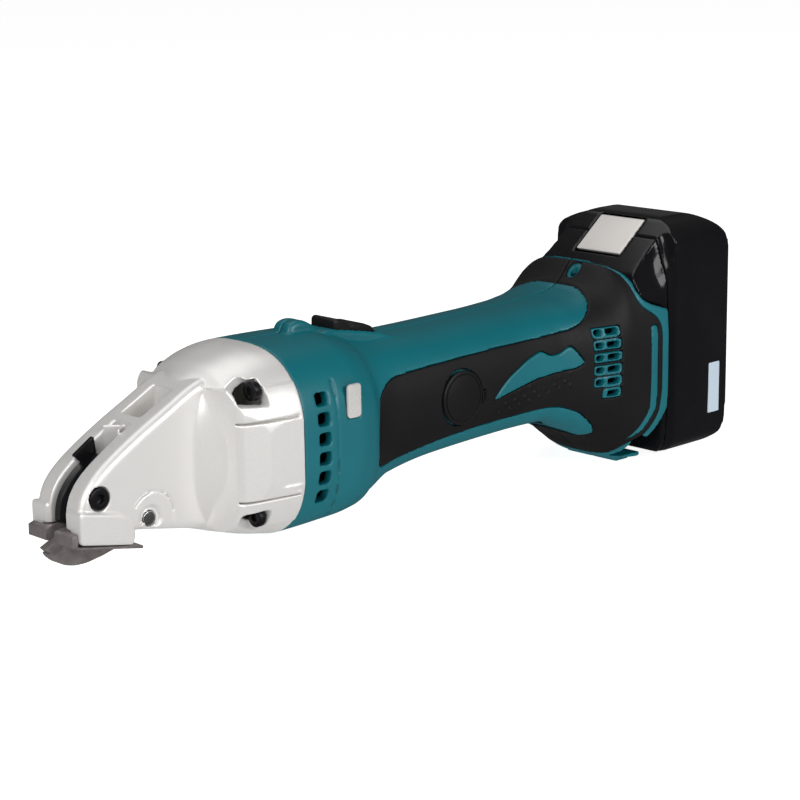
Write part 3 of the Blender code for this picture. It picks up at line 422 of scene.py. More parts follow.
TEAL = moulded("teal_plastic", (0.0, 0.114, 0.142), (0.0, 0.130, 0.160), (0.34, 0.46))
RUBBER = moulded("grip_rubber", (0.006, 0.006, 0.007), (0.010, 0.009, 0.010), (0.50, 0.62), 3200.0, 0.2,
                 specular=0.25)
BLACK = moulded("black_plastic", (0.006, 0.006, 0.007), (0.010, 0.009, 0.010), (0.36, 0.48), specular=0.3)
GLOSS = moulded("gloss_black", (0.004, 0.004, 0.005), (0.007, 0.007, 0.008), (0.12, 0.17), 900.0, 0.02,
                0.00003, specular=0.28)
BUTTON = moulded("light_plastic", (0.66, 0.63, 0.60), (0.72, 0.69, 0.66), (0.34, 0.44))
WINDOW = moulded("window_plastic", (0.42, 0.41, 0.39), (0.50, 0.49, 0.47), (0.22, 0.32))
LABEL = moulded("label_bar", (0.42, 0.50, 0.58), (0.47, 0.55, 0.63), (0.30, 0.40))
BOARD = moulded("board_green", (0.01, 0.07, 0.03), (0.015, 0.10, 0.04), (0.35, 0.5))
WRAP = moulded("cell_wrap", (0.02, 0.16, 0.05), (0.03, 0.22, 0.08), (0.3, 0.4))
CARBON = moulded("carbon", (0.010, 0.010, 0.010), (0.025, 0.025, 0.027), (0.5, 0.7))
CAST = cast_paint()
CUTTER = ground_steel("tool_steel", (0.17, 0.15, 0.145), (0.30, 0.27, 0.262), metallic=0.5)
DARK = machined("dark_steel", (0.028, 0.028, 0.030), 0.36, 0.8)
BRIGHT = machined("bright_steel", (0.55, 0.55, 0.56), 0.26, 1.0)
COPPER = machined("copper", (0.60, 0.28, 0.14), 0.34, 1.0)
WOUND = laminated("wound_copper", (0.10, 0.03, 0.012), (0.24, 0.09, 0.04), 900.0, 0.3, 0.6)
STACK = laminated("laminated_core", (0.20, 0.20, 0.21), (0.42, 0.42, 0.43), 1300.0, 0.32, 0.9)


# ---------------------------------------------------------------- cast head

NOSE_TOP = [(-140.0, 26.0), (-150.0, 22.6), (-160.0, 17.2), (-174.0, 10.2), (-186.0, 3.4), (-194.0, -1.8),
            (-199.6, -6.4), (-203.4, -11.4), (-205.4, -17.4)]
NOSE_BOTTOM = [(-205.0, -29.4), (-181.0, -34.6), (-179.6, -29.4), (-168.0, -31.6), (-148.0, -35.6),
               (-140.0, -37.0)]
CRANK_Z = MOTOR_Z - 14.4


def nose():
    """The two plates as one block, with broad rounded bands along the top."""
    return prism("nose", rounded(NOSE_TOP + NOSE_BOTTOM, 5.0), -PLATE_Y, PLATE_Y, bevel=3.4, segments=5)


def side_block(side):
    outline = [(-206.4, -18.2), (-205.8, -16.6), (-188.0, -20.4), (-184.0, -22.6), (-181.0, -27.0),
               (-180.2, -30.0), (-181.6, -34.4), (-206.4, -29.3)]
    return prism("side_block", rounded(outline, 1.5), *sorted((side * 6.0, side * 16.4)), bevel=1.0)


def arc(centre, radius, start, end, steps=24):
    return [(centre[0] + radius * math.cos(math.radians(start + (end - start) * i / steps)),
             centre[1] + radius * math.sin(math.radians(start + (end - start) * i / steps)))
            for i in range(steps + 1)]


def crescent_hole(side):
    """Half-open slot in the nose plate beside the pivot, with a round pin end left standing."""
    x, z = PIVOT
    outer, inner = arc((x, z), 5.6, -60.0, 200.0), arc((x, z), 3.4, 200.0, -60.0)
    return prism("crescent", outer + inner, *sorted((side * (PLATE_Y - 1.6), side * 30.0)))


POCKET_TOP = [(-140.4, 15.8), (-126.6, 14.6), (-126.6, 19.6), (-131.6, 25.4), (-137.4, 27.6),
              (-140.4, 25.0)]
POCKET_BOTTOM = [(-139.6, -28.4), (-127.4, -27.6), (-126.4, -30.0), (-126.4, -43.0), (-132.0, -43.0),
                 (-139.6, -37.0)]


def screw_pocket(side, x, z):
    """Cutters for a head screw: a flat-floored scoop in the side, a round well forwards and the bore."""
    up = math.copysign(1.0, z)
    y, z = side * SCREW_Y, z - up * 0.5
    outline = rounded(POCKET_TOP if z > 0 else POCKET_BOTTOM, 1.6, 5)
    scoop = prism("scoop", outline, *sorted((side * (SCREW_Y - 5.2), side * 50.0)), bevel=1.2)
    well = cylinder("well", 4.7, (x + 0.6, y, z), (x - 10.0, y, z), segments=48)
    bore = cylinder("bore", 2.4, (x - 12.0, y, z), (-108.0, y, z), segments=24)
    return scoop, well, bore


def bell_facets():
    """Flat faces down both sides of the bell, standing just proud of its rounded skin."""
    plan = [(-144.4, 20.0), (-141.2, 31.4), (-139.4, 34.0), (-129.0, 37.9), (-112.3, 39.2)]
    block = prism("facets", plan + [(x, -y) for x, y in reversed(plan)], -36.0, 22.0, axis="z")
    limit = [(-112.0, 40.0, 34.0, -46.0, 2.7), (-134.0, 37.6, 31.4, -43.0, 2.7),
             (-146.0, 35.6, 29.6, -40.6, 2.6)]
    return keep(block, loft("limit", limit, ends=(-0.3, 0.0)))


def pin_arch(side):
    """Parting line round the pivot: an arch with one straight leg."""
    x, z = PIVOT[0] + 1.2, PIVOT[1] + 0.7
    outer, inner = arc((x, z), 10.8, 0.0, 150.0), arc((x, z), 9.7, 150.0, 0.0)
    leg = [(x + 9.7, z - 12.0), (x + 10.8, z - 12.0)]
    return prism("arch", leg + outer + inner, *sorted((side * (PLATE_Y - 1.4), side * 20.0)))


def web_ribs():
    """Two thin ribs that fan out from the web between the nose pockets to the plates."""
    made = []
    for end in (-1, 1):
        plan = [(-172.8, -0.6), (-172.8, 0.6), (-178.6, end * SLOT_Y + 1.2), (-178.6, end * SLOT_Y)]
        made.append(prism("web_rib", plan, -6.0, 9.6, axis="z"))
    return made


def bell_groove(z, half, depth):
    """Thin line cut along the bell at one height on both sides."""
    skin = loft("skin", HEAD, inset=depth, ends=(-2.0, 2.0))
    strip = box("strip", (-141.0, -60.0, z - half), (-114.0, 60.0, z + half))
    return cut(strip, skin)


def bell_rib(z):
    """Low rib along both sides of the bell, with a shallow groove down its middle on the -Y side."""
    band = keep(loft("band", HEAD, inset=-1.6, ends=(-0.5, 0.0)),
                box("slab", (-140.0, -39.3, z - 1.9), (-114.0, 39.3, z + 1.9)))
    return cut(band, box("middle", (-141.0, -70.0, z - 0.7), (-113.0, -39.0, z + 0.7)))


def cast_head():
    body = join(loft("cast_head", HEAD, ends=(-GAP, 0.0), pitch=1.2), nose(), side_block(-1), side_block(1))
    body = join(body, bell_facets(), bell_rib(-20.8))
    inside = HEAD[:4] + [(-138.0, 29.0, 28.0, -38.5, 2.6), (-143.6, 19.0, 23.6, -36.0, 3.0)]
    inner = loft("inner", inside, inset=3.6, ends=(2.0, 0.0), count=48)
    rear_pocket = rounded([(-152.0, 40.0), (-152.0, 3.0), (-168.6, -1.5), (-168.6, 40.0)], 2.0)
    front_pocket = [(-172.6, 40.0), (-172.6, -11.0), (-190.0, -19.0), (-198.0, -24.6), (-215.0, -24.6),
                    (-215.0, 40.0)]
    blade_way = [(-215.0, -20.0), (-186.0, -17.0), (-166.0, -10.5), (-154.0, -2.0), (-138.0, 2.5),
                 (-138.0, -33.4), (-150.0, -33.2), (-158.0, -30.4), (-163.0, -40.0), (-215.0, -40.0)]
    body = cut(body, inner, cylinder("room", 9.6, (-147.0, 0.0, CRANK_Z), (-130.0, 0.0, CRANK_Z)),
               prism("rear_pocket", rear_pocket, -6.2, 6.2, bevel=1.2),
               prism("front_pocket", front_pocket, -SLOT_Y, SLOT_Y),
               prism("blade_way", blade_way, -BLADE_Y - 0.5, BLADE_Y + 0.5))
    body = join(body, *web_ribs())
    for side in (-1, 1):
        y = sorted((side * 1.0, side * 9.4))
        lip_way = [(-215.0, -28.2), (-176.7, -35.0), (-176.7, -40.0), (-215.0, -40.0)]
        body = cut(body, box("channel", (-215.0, y[0], -40.0), (-176.7, y[1], -24.6)), crescent_hole(side),
                   pin_arch(side),
                   prism("lip_way", lip_way, *sorted((side * 1.0, side * 17.0))))
        for x, z in SCREW_SPOTS:
            body = cut(body, *screw_pocket(side, x, z))
    x, z = NOSE_BOLT
    body = cut(body, cylinder("bolt_bore", 2.8, (x, -30.0, z), (x, 30.0, z)),
               cylinder("bolt_seat", 4.9, (x, -30.0, z), (x, -12.5, z)), bell_groove(9.0, 0.5, 1.3),
               bell_groove(-23.1, 0.5, 1.2))
    x, z = PIVOT
    body = cut(body, cylinder("pin_bore", 3.3, (x, -PLATE_Y - 5.0, z), (x, PLATE_Y + 5.0, z)))
    soften(body, 0.45, 3, ratio=0.45)
    return piece(body, CAST, "cast_metal", "gear_housing")


def head_screws():
    for side in (-1, 1):
        for place, (x, z) in zip(("top", "bottom"), SCREW_SPOTS):
            y, z = side * SCREW_Y, z - math.copysign(0.5, z)
            screw = cylinder("screw_head", 4.0, (x - 3.4, y, z), (x - 0.3, y, z), bevel=0.5)
            screw = join(screw, cylinder("shank", 2.0, (x - 1.0, y, z), (-101.0, y, z), segments=32))
            screw = cut(screw, cylinder("drive", 1.9, (x - 5.0, y, z), (x - 2.0, y, z), segments=6))
            node = f"head_screw_{'left' if side < 0 else 'right'}_{place}"
            piece(edged(screw, 0.15), DARK, "dark_steel", node)


def side_cutter(side):
    """Fixed cutter: a bar in its channel, a thick front end and a lip under the block."""
    low = BLADE_Y + 0.25
    bar = [(-209.4, CUTTER_FRONT_Z), (-177.2, CUTTER_REAR_Z), (-177.2, -33.0), (-184.0, -25.0),
           (-206.8, -25.0), (-209.4, -25.8)]
    front = [(-209.4, CUTTER_FRONT_Z), (-206.8, CUTTER_FRONT_Z - 0.53), (-206.8, -25.0), (-209.4, -25.8)]
    lip = [(-208.4, CUTTER_FRONT_Z - 0.2), (-177.2, CUTTER_REAR_Z), (-177.2, CUTTER_REAR_Z + 1.2),
           (-208.4, CUTTER_FRONT_Z + 0.4)]
    bar = join(prism("side_cutter", bar, *sorted((side * low, side * 9.0))),
               prism("front", front, *sorted((side * (low + 0.5), side * 14.4))),
               prism("lip", lip, *sorted((side * (low + 0.5), side * 16.0))))
    node = f"side_cutter_{'left' if side < 0 else 'right'}"
    piece(edged(bar, 0.4), CUTTER, "tool_steel", node)


def centre_blade():
    px, pz = PIVOT
    beak = [(-186.0, -22.6), (-200.0, -26.4), (-213.0, -32.2)]
    lower = [(-212.2, -34.2), (-210.8, -36.2), (-208.2, -38.5), (-204.8, -40.3), (-200.0, -41.5),
             (-194.6, -41.6), (-187.0, -40.4), (-180.5, -38.8), (-175.0, -35.2)]
    arm = [(-170.0, -31.4), (-160.0, -28.0), (-149.4, -30.0), (-149.4, -32.2), (-137.6, -32.2),
           (-137.6, -29.6), (-146.6, -29.4), (-146.6, -8.6), (-137.6, -8.4), (-137.6, -5.4),
           (-149.4, -5.4), (-152.0, -12.0), (-166.0, -19.4), (-172.0, -20.4)]
    blade = prism("centre_blade", beak + rounded(lower, 1.5, 3) + arm, -BLADE_Y, BLADE_Y)
    blade = cut(blade, cylinder("bore", 3.3, (px, -10.0, pz), (px, 10.0, pz)))
    piece(edged(blade, 0.35), CUTTER, "tool_steel", "centre_blade", body="blade")


def pivot_pin():
    x, z = PIVOT
    pin = cylinder("pivot_pin", 2.95, (x, -PLATE_Y + 1.0, z), (x, PLATE_Y - 1.0, z), bevel=0.4)
    piece(edged(pin, 0.1), BRIGHT, "bright_steel", "pivot_pin")


def nose_bolt():
    x, z = NOSE_BOLT
    bolt = join(cylinder("nose_bolt", 4.4, (x, -15.2, z), (x, -12.8, z), bevel=0.5),
                cylinder("shank", 2.1, (x, -13.5, z), (x, 14.2, z)))
    bolt = cut(bolt, cylinder("socket", 2.2, (x, -17.0, z), (x, -13.4, z), segments=6))
    piece(edged(bolt, 0.15), DARK, "dark_steel", "nose_bolt")


def strip_deflector():
    outer = [(-185.0, 0.4), (-193.6, -4.9), (-198.4, -9.2), (-201.7, -13.8), (-203.3, -18.6),
             (-203.6, -24.0)]
    inner = [(-202.0, -24.0), (-201.7, -19.2), (-200.2, -14.6), (-197.4, -10.4), (-192.9, -6.3),
             (-184.2, -1.2)]
    plate = prism("strip_deflector", rounded(outer + inner, 3.0, 4), -SLOT_Y + GAP, SLOT_Y - GAP)
    cheek = [(-194.4, 0.4), (-184.4, 6.6), (-183.4, -0.6), (-189.4, -3.8)]
    cheek = prism("cheek", rounded(cheek, 1.0, 4), SLOT_Y - 1.6, SLOT_Y - 0.1)
    piece(edged(join(plate, cheek), 0.25), GLOSS, "dark_steel", "strip_deflector")


# ---------------------------------------------------------------- housing and grips

# Points of GRIP_REAR and GRIP_UPPER are the output of another program, which projected points of the
# photograph onto the body. report.md lists them under "Departure from a rule".
GRIP_FRONT = [(-36.0, 13.0), (-50.0, 12.2), (-56.0, 10.6), (-62.5, 6.0), (-66.0, -4.0), (-66.5, -14.0),
              (-63.4, -23.2), (-60.0, -24.4)]
GRIP_LOWER = [(-46.8, -23.0), (-23.1, -20.0), (1.4, -18.2), (27.0, -17.7), (45.0, -17.6), (54.0, -19.0),
              (63.8, -22.9), (72.0, -29.2), (79.4, -36.4), (79.2, -39.6), (67.6, -34.0), (55.3, -28.6),
              (44.0, -26.4), (40.0, -31.0), (40.0, -70.0)]
GRIP_REAR = [(97.2, -70.0), (96.0, -44.0), (104.0, -38.5), (109.5, -30.0), (110.8, -20.0), (110.8, 10.0),
             (109.0, 14.5), (105.8, 17.3), (100.0, 20.8), (96.4, 24.9), (95.6, 30.7), (94.6, 36.0),
             (91.6, 39.9), (89.6, 41.0), (89.4, 60.0)]
GRIP_UPPER = [(83.2, 60.0), (83.2, 36.0), (82.2, 33.6), (80.2, 30.8), (77.5, 28.0), (74.9, 25.4),
              (70.0, 21.6), (64.4, 18.2), (57.0, 16.0), (40.0, 15.0), (14.0, 14.6), (-11.0, 13.9)]
SWOOSH = [(7.5, -8.0), (12.0, -3.2), (18.0, 1.2), (24.4, 4.4), (30.0, 7.0), (38.5, 9.6), (44.0, 6.4),
          (50.0, 6.6), (56.0, 9.6), (59.0, 6.4), (63.2, 1.0), (58.0, -1.2), (50.0, -1.4), (36.0, -2.4),
          (22.0, -5.0)]
RIB = [(103.2, 12.5), (107.6, 12.5), (107.6, -27.0), (101.0, -37.5), (95.0, -42.0), (99.0, -35.0),
       (103.2, -27.0)]
VENT_ROWS = 6
VENT_PITCH = 5.7
VENT_TOP = 13.4
VENT_COLUMNS = ((68.8, 73.2), (74.8, 81.8))
WINDOW_BED = (-88.6, -80.6, 2.6, 17.4)


def grip_outline():
    return rounded(GRIP_FRONT + GRIP_LOWER + GRIP_REAR + GRIP_UPPER, 3.0, 4)


def seat_space(clearance):
    outline = [(91.2 - clearance, 75.0), (91.2 - clearance, 41.0), (93.6 - clearance, 39.4),
               (96.6 - clearance, 36.6), (98.0 - clearance, 33.4), (98.2 - clearance, 29.2), (100.2, 25.0),
               (105.0, 22.3), (112.8, 19.6), (115.4, 19.2 - clearance), (125.0, 19.0), (125.0, 75.0)]
    return prism("seat_space", outline, -60.0, 60.0)


def vent_frames(growth):
    """One rounded block round each row of rear vents, for the right side."""
    frames = []
    for row in range(VENT_ROWS):
        z = VENT_TOP - row * VENT_PITCH
        start = VENT_COLUMNS[0][0] if row < VENT_ROWS - 1 else VENT_COLUMNS[0][0] + 4.6
        low, high = start - 0.8 - growth, VENT_COLUMNS[1][1] + 1.0 + growth
        half = 2.15 + growth
        frame_shape = rounded([(low, z - half), (high, z - half), (high, z + half), (low, z + half)], 0.9)
        frames.append(prism("vent_frame", frame_shape, 22.0, 46.0))
    return frames


def vents():
    made = []
    for row in range(VENT_ROWS):
        z = VENT_TOP - row * VENT_PITCH
        for low, high in VENT_COLUMNS:
            if row == VENT_ROWS - 1 and low < 70.0:
                continue
            made.append(box("vent", (low, 20.0, z - 1.35), (high, 45.0, z + 1.35), bevel=0.3, segments=1))
    return made


def accents(growth):
    """The pieces of housing colour that stand through the right grip."""
    return [prism("swoosh", grown(rounded(SWOOSH, 2.0, 4), growth), 22.0, 46.0),
            prism("rib", grown(rounded(RIB, 1.5, 4), growth), 22.0, 46.0), *vent_frames(growth)]


def switch_bed():
    hump = [(-90.6, 26.0), (-90.4, 34.6), (-88.4, 37.6), (-85.0, 38.6), (-80.6, 38.2), (-76.6, 36.0),
            (-72.0, 33.0), (-60.0, 30.0), (-60.0, 24.0)]
    bed = [(-80.0, 24.0), (-78.0, 31.6), (-72.0, 33.4), (-66.0, 32.8), (-52.0, 30.2), (-40.0, 27.6),
           (-32.0, 24.0)]
    return join(prism("hump", rounded(hump, 2.5), -5.6, 5.6, bevel=2.2, segments=4),
                prism("switch_bed", rounded(bed, 3.0), -10.4, 10.4, bevel=2.4, segments=4))


def seam_line(x, width, depth):
    """Fine groove round the barrel's side, bowed a little."""
    skin = loft("skin", HOUSING, inset=depth, ends=(-1.0, 1.0), count=64)
    front = [(x - 2.4 * (1 - (z / 40.0) ** 2), z) for z in range(-44, 28, 8)]
    back = [(px + width, z) for px, z in reversed(front)]
    return cut(prism("seam", front + back, 12.0, 60.0), skin)


def housing_half():
    """The right half of the body, before its edges are softened."""
    foot = [(105.0, -48.0), (105.0, -56.4), (106.6, -57.2), (115.4, -57.2), (115.4, -48.0)]
    shell = join(loft("housing", HOUSING), switch_bed(), prism("foot", foot, -15.0, 15.0))
    cavity = loft("cavity", HOUSING[:-3] + [(92.0, *HOUSING[-3][1:])], inset=WALL + GRIP_DEPTH,
                  ends=(-2.0, 0.0), count=64)
    shell = cut(shell, cavity, seat_space(0.3))
    shell = cut(shell, box("pocket", (98.8, -34.5, BATTERY_BOTTOM - 0.6), (120.0, 34.5, 60.0)),
                box("plug_hole", (90.0, -19.0, -40.0), (104.0, 19.0, -16.0)))
    corner = [(118.0, -22.0), (114.0, -31.0), (108.0, -39.5), (99.0, -47.0), (95.0, -60.0), (118.0, -60.0)]
    shell = cut(shell, prism("corner", rounded(corner, 4.0), 22.0, 60.0))
    bed = [(-67.6, 45.0), (-67.6, 30.6), (-60.0, 29.4), (-37.2, 25.4), (-37.2, 45.0)]
    shell = cut(shell, prism("switch_recess", bed, -8.1, 8.1),
                box("switch_hole", (-62.4, -4.0, 15.0), (-44.0, 4.0, 40.0)))
    shell = keep(shell, box("half_space", (-140.0, GAP / 2, -80.0), (140.0, 70.0, 80.0)))
    return cut_side(shell)


def cut_side(shell):
    bed = loft("bed", HOUSING, inset=GRIP_DEPTH + GAP, ends=(-1.0, 1.0))
    blank = cut(prism("blank", grown(grip_outline(), GAP), 0.01, 62.0), bed)
    shell = cut(shell, cut(blank, *accents(0.0)), *vents())
    x_low, x_high, z_low, z_high = WINDOW_BED
    window = rounded([(x_low, z_low), (x_high, z_low), (x_high, z_high), (x_low, z_high)], 2.0)
    x, z = CAP_CENTRE
    shell = cut(shell, prism("window_bed", window, 37.2, 50.0),
                cylinder("cap_seat", CAP_R - 1.6, (x, 15.0, z), (x, 60.0, z)))
    for slot in range(6):
        z = 13.2 - slot * 8.1
        hole = rounded([(-104.2, z - 2.7), (-97.6, z - 2.7), (-97.6, z + 2.7), (-104.2, z + 2.7)], 1.4)
        shell = cut(shell, prism("slot", hole, 20.0, 60.0))
    for x, z in SCREW_SPOTS:
        z -= math.copysign(0.5, z)
        shell = cut(shell, cylinder("screw_hole", 2.3, (-120.0, SCREW_Y, z), (-99.0, SCREW_Y, z),
                                    segments=24))
        shell = cut(shell, box("notch", (-113.0, 36.0, z - 2.0), (-109.6, 45.0, z + 1.2)))
    return cut(shell, seam_line(-92.0, 1.3, 1.3))


def housing():
    right = soften(housing_half(), 0.62, 3, ratio=0.5)
    dimple = cylinder("dimple", 1.6, (87.0, -5.0, 33.0), (86.2, -5.6, 50.0), end_radius=2.4)
    left = cut(mirrored(right, "housing_left"), dimple)
    piece(right, TEAL, "teal_plastic", "housing_right")
    piece(left, TEAL, "teal_plastic", "housing_left")


def grip_studs():
    """Rows of small raised studs on the lower part of the right grip, under the accent."""
    studs = []
    for row in range(3):
        for column in range(8):
            x = 12.0 + column * 6.2 + (row % 2) * 3.1
            z = -7.0 - row * 3.6 + column * (0.55 + 0.12 * row)
            if x > 62.0 or z < -16.0 + 0.05 * x:
                continue
            y = 29.4 + max(0.0, x - 40.0) * 0.12
            studs.append(cylinder("stud", 0.85, (x, y - 3.0, z), (x, y + 0.5, z), segments=16,
                                  end_radius=0.5))
    return studs


def grips():
    right = loft("grip_right", HOUSING)
    right = cut(right, loft("grip_inner", HOUSING, inset=GRIP_DEPTH, ends=(-1.0, 1.0)))
    right = keep(right, prism("outline", grip_outline(), GAP / 2, 60.0))
    x, z = CAP_CENTRE
    right = cut(right, seat_space(0.0), *accents(GAP),
                cylinder("cap_hole", CAP_R + 0.5, (x, 20.0, z), (x, 60.0, z)),
                box("key", (-1.5, 20.0, -7.6), (2.6, 60.0, -1.6)))
    right = soften(join(right, *grip_studs()), 0.4, 3, ratio=0.4)
    left = cut(mirrored(right, "grip_left"),
               cylinder("recess", 3.6, (87.0, -5.0, 30.0), (86.2, -5.6, 50.0)))
    piece(right, RUBBER, "grip_rubber", "grip_right")
    piece(left, RUBBER, "grip_rubber", "grip_left")


def side_insert(make, finish, slot, base):
    """Build a piece for the right side, mirror it to the left."""
    right = make()
    left = mirrored(right, f"{base}_left")
    piece(right, finish, slot, f"{base}_right")
    piece(left, finish, slot, f"{base}_left")


def window_pane():
    x_low, x_high, z_low, z_high = WINDOW_BED
    shape = [(x_low + GAP, z_low + GAP), (x_high - GAP, z_low + GAP), (x_high - GAP, z_high - GAP),
             (x_low + GAP, z_high - GAP)]
    return edged(prism("window", rounded(shape, 2.0, 8), 37.2 + GAP, 39.3, bevel=0.8, segments=4), 0.1)


def cap_disc():
    """Brush cap: a domed disc with a ring groove, a key tab and two coin slots in the tab."""
    x, z = CAP_CENTRE
    disc = cylinder("cap", CAP_R - 0.1, (x, 28.2, z), (x, 30.0, z), segments=128, bevel=0.5)
    disc = join(disc, cylinder("stem", CAP_R - 2.0, (x, 21.5, z), (x, 29.0, z)),
                box("tab", (-1.8, 28.4, -7.2), (2.2, 29.8, -2.0), bevel=0.3))
    groove = cut(cylinder("groove", CAP_R - 1.3, (x, 29.6, z), (x, 31.0, z), segments=96),
                 cylinder("core", CAP_R - 1.9, (x, 29.0, z), (x, 32.0, z), segments=96))
    disc = cut(disc, groove, box("slot", (-0.6, 29.2, -6.6), (0.0, 31.0, -2.6)),
               box("slot", (0.9, 29.2, -6.6), (1.5, 31.0, -2.6)))
    return edged(disc, 0.12)


# ---------------------------------------------------------------- switch

def switch_knob():
    """Slide button: a ribbed lump in front, a hollow and a low hump behind on one thin plate."""
    base = [(-66.6, 31.4), (-66.4, 36.0), (-64.6, 36.8), (-58.8, 34.8), (-58.0, 32.8), (-55.0, 33.4),
            (-50.0, 32.8), (-45.0, 30.8), (-43.0, 28.6), (-42.8, 27.2), (-60.0, 30.2)]
    knob = prism("switch_knob", rounded(base, 1.0, 4), -7.6, 7.6, bevel=1.0)
    for groove in range(3):
        x = -64.6 + groove * 2.0
        z = 36.9 - groove * 0.7
        knob = cut(knob, box("groove", (x, -6.4, z - 1.0), (x + 0.7, 6.4, z + 2.0)))
    knob = join(knob, box("stem", (-60.6, -2.4, 21.1), (-50.0, 2.4, 32.0)))
    piece(edged(knob, 0.2), BLACK, "black_plastic", "switch_knob", body="switch")


# ---------------------------------------------------------------- battery

SPLIT_X = 119.2

# half width and height of the front view of the pack, from the shoulder up
WIDE = [(BATTERY_Y, 47.0), (36.2, 51.0), (30.0, 55.6), (20.0, 58.4), (12.0, 66.0)]
NARROW = [(33.8, 28.0), (29.0, 37.0), (27.6, 49.0), (23.6, 56.4), (18.0, 66.0)]
FLARE = ((112.0, 0.0), (115.0, 0.05), (117.4, 0.13), (119.2, 0.24), (120.6, 0.39), (121.6, 0.62),
         (122.2, 1.0))


def smooth_half(points, steps=6):
    """Round a half outline's inner corners, keeping its two end points."""
    made = [points[0]]
    for before, corner, after in zip(points, points[1:], points[2:]):
        start = ((before[0] + corner[0]) / 2, (before[1] + corner[1]) / 2)
        end = ((corner[0] + after[0]) / 2, (corner[1] + after[1]) / 2)
        for step in range(steps + 1):
            t = step / steps
            made.append(tuple(start[i] * (1 - t) ** 2 + corner[i] * 2 * t * (1 - t) + end[i] * t ** 2
                              for i in (0, 1)))
    return made + [points[-1]]


def pack_section(share):
    """Half of the pack's front view between its narrow front and its full width behind."""
    top = [(a[0] + (b[0] - a[0]) * share, a[1] + (b[1] - a[1]) * share) for a, b in zip(NARROW, WIDE)]
    waist = BATTERY_Y - (1.0 - share) * 2.6
    low = [(waist, 20.0), (waist, -46.0), (34.0 - (1.0 - share) * 2.0, -50.4), (28.0, -54.0)]
    return smooth_half(top[::-1] + low)


def battery_blank(inset=0.0):
    """The whole pack: its side view crossed with its front view."""
    side = [(99.2, 34.8), (99.2, 29.9), (101.2, 25.7), (105.6, 23.2), (113.0, 20.4), (116.0, 20.0),
            (116.0, BATTERY_BOTTOM), (152.0, BATTERY_BOTTOM), (158.4, -49.4), (BATTERY_X, -43.0),
            (BATTERY_X, 45.0), (158.4, 52.6), (153.0, 57.2), (148.0, BATTERY_TOP), (132.6, BATTERY_TOP),
            (129.8, 58.2), (127.6, 57.0)]
    if inset:
        side = grown(side, -inset)
    blank = prism("blank", rounded(side, 2.5, 5), -50.0, 50.0)
    bm = bmesh.new()
    rings = []
    for x, share in [(90.0, 0.0), *FLARE, (180.0, 1.0)]:
        outline = [(y - inset, z - inset if z > 50.0 else z + inset if z < -50.0 else z)
                   for y, z in pack_section(share)]
        points = outline + [(-y, z) for y, z in reversed(outline)]
        shift = inset / 2 if 100.0 < x < 170.0 else 0.0
        rings.append([bm.verts.new((x + shift, y, z)) for y, z in points])
    count = len(rings[0])
    for a, b in zip(rings, rings[1:]):
        for i in range(count):
            bm.faces.new((a[i], a[(i + 1) % count], b[(i + 1) % count], b[i]))
    bm.faces.new(list(reversed(rings[0])))
    bm.faces.new(rings[-1])
    bmesh.ops.triangulate(bm, faces=bm.faces)
    return keep(blank, from_bmesh("front_view", bm))


def battery_shell():
    whole = join(battery_blank(), box("rail", (100.2, -33.0, -30.0), (119.0, 33.0, 29.0), bevel=0.8))
    way = [(108.6, 33.0), (136.6, 38.0), (136.6, 57.0), (127.6, 57.0), (127.6, 66.0), (108.6, 66.0)]
    whole = cut(whole, battery_blank(2.2),
                box("terminal_way", (90.0, -20.0, -60.0), (110.0, 20.0, -12.0)),
                prism("button_way", way, -BUTTON_Y - GAP, BUTTON_Y + GAP),
                box("latch_way", (92.0, -10.4, 31.0), (116.0, 10.4, 34.0)))
    return whole


def battery_cases():
    whole = battery_shell()
    front = link("battery_case_front", whole.data.copy())
    front = keep(front, box("front_part", (80.0, -60.0, -80.0), (SPLIT_X - GAP / 2, 60.0, 80.0)))
    rear = keep(whole, box("rear_part", (SPLIT_X + GAP / 2, -60.0, -80.0), (180.0, 60.0, 80.0)))
    soften(front, 0.6, 3, ratio=0.5)
    soften(rear, 0.6, 3, ratio=0.5)
    piece(front, GLOSS, "gloss_black", "battery_case_front", body="battery")
    piece(rear, GLOSS, "gloss_black", "battery_case_rear", body="battery")


def battery_bar():
    """Plain pale bar set into the panel on the near and far side."""
    for side in (-1, 1):
        y = sorted((side * (BATTERY_Y - 0.3), side * (BATTERY_Y + 0.05)))
        shape = rounded([(147.6, -37.0), (155.6, -37.0), (155.6, -12.5), (147.6, -12.5)], 0.6)
        bar = prism(f"label_bar_{'left' if side < 0 else 'right'}", shape, *y)
        piece(bar, LABEL, "window_plastic", body="battery")


def battery_button():
    outline = [(109.0, 42.8), (126.8, 56.6), (128.2, 56.6), (129.4, 54.8), (111.4, 41.2)]
    button = prism("battery_button", rounded(outline, 0.8, 4), -BUTTON_Y, BUTTON_Y, bevel=0.9, segments=4)
    piece(edged(button, 0.2), BUTTON, "light_plastic", "battery_button", body="latch")


# ---------------------------------------------------------------- inner pieces keep their CAD meshes

INNER = {
    CARBON: ("carbon_brush_left", "carbon_brush_right"),
    COPPER: ("commutator", "brush_holder_left", "brush_holder_right"),
    WOUND: ("winding_front", "winding_rear"),
    STACK: ("armature_core",),
    CAST: ("bearing_plate",),
    DARK: ("magnet_yoke", "battery_latch"),
    BRIGHT: ("crank_shaft", "needle_bearing", "crank_gear", "pinion", "crank_bearing_front",
             "crank_bearing_rear", "motor_bearing_front", "motor_bearing_rear", "armature_shaft"),
    BLACK: ("cooling_fan", "switch_bar", "switch_box", "terminal_block"),
    BOARD: ("controller_board",),
    WRAP: tuple(f"cell_{number:02d}" for number in range(1, 11)),
}


def inner_pieces():
    for finish, names in INNER.items():
        for name in names:
            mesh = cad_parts[name].data
            mesh.materials.clear()
            mesh.materials.append(finish)


# ---------------------------------------------------------------- floor, light and camera

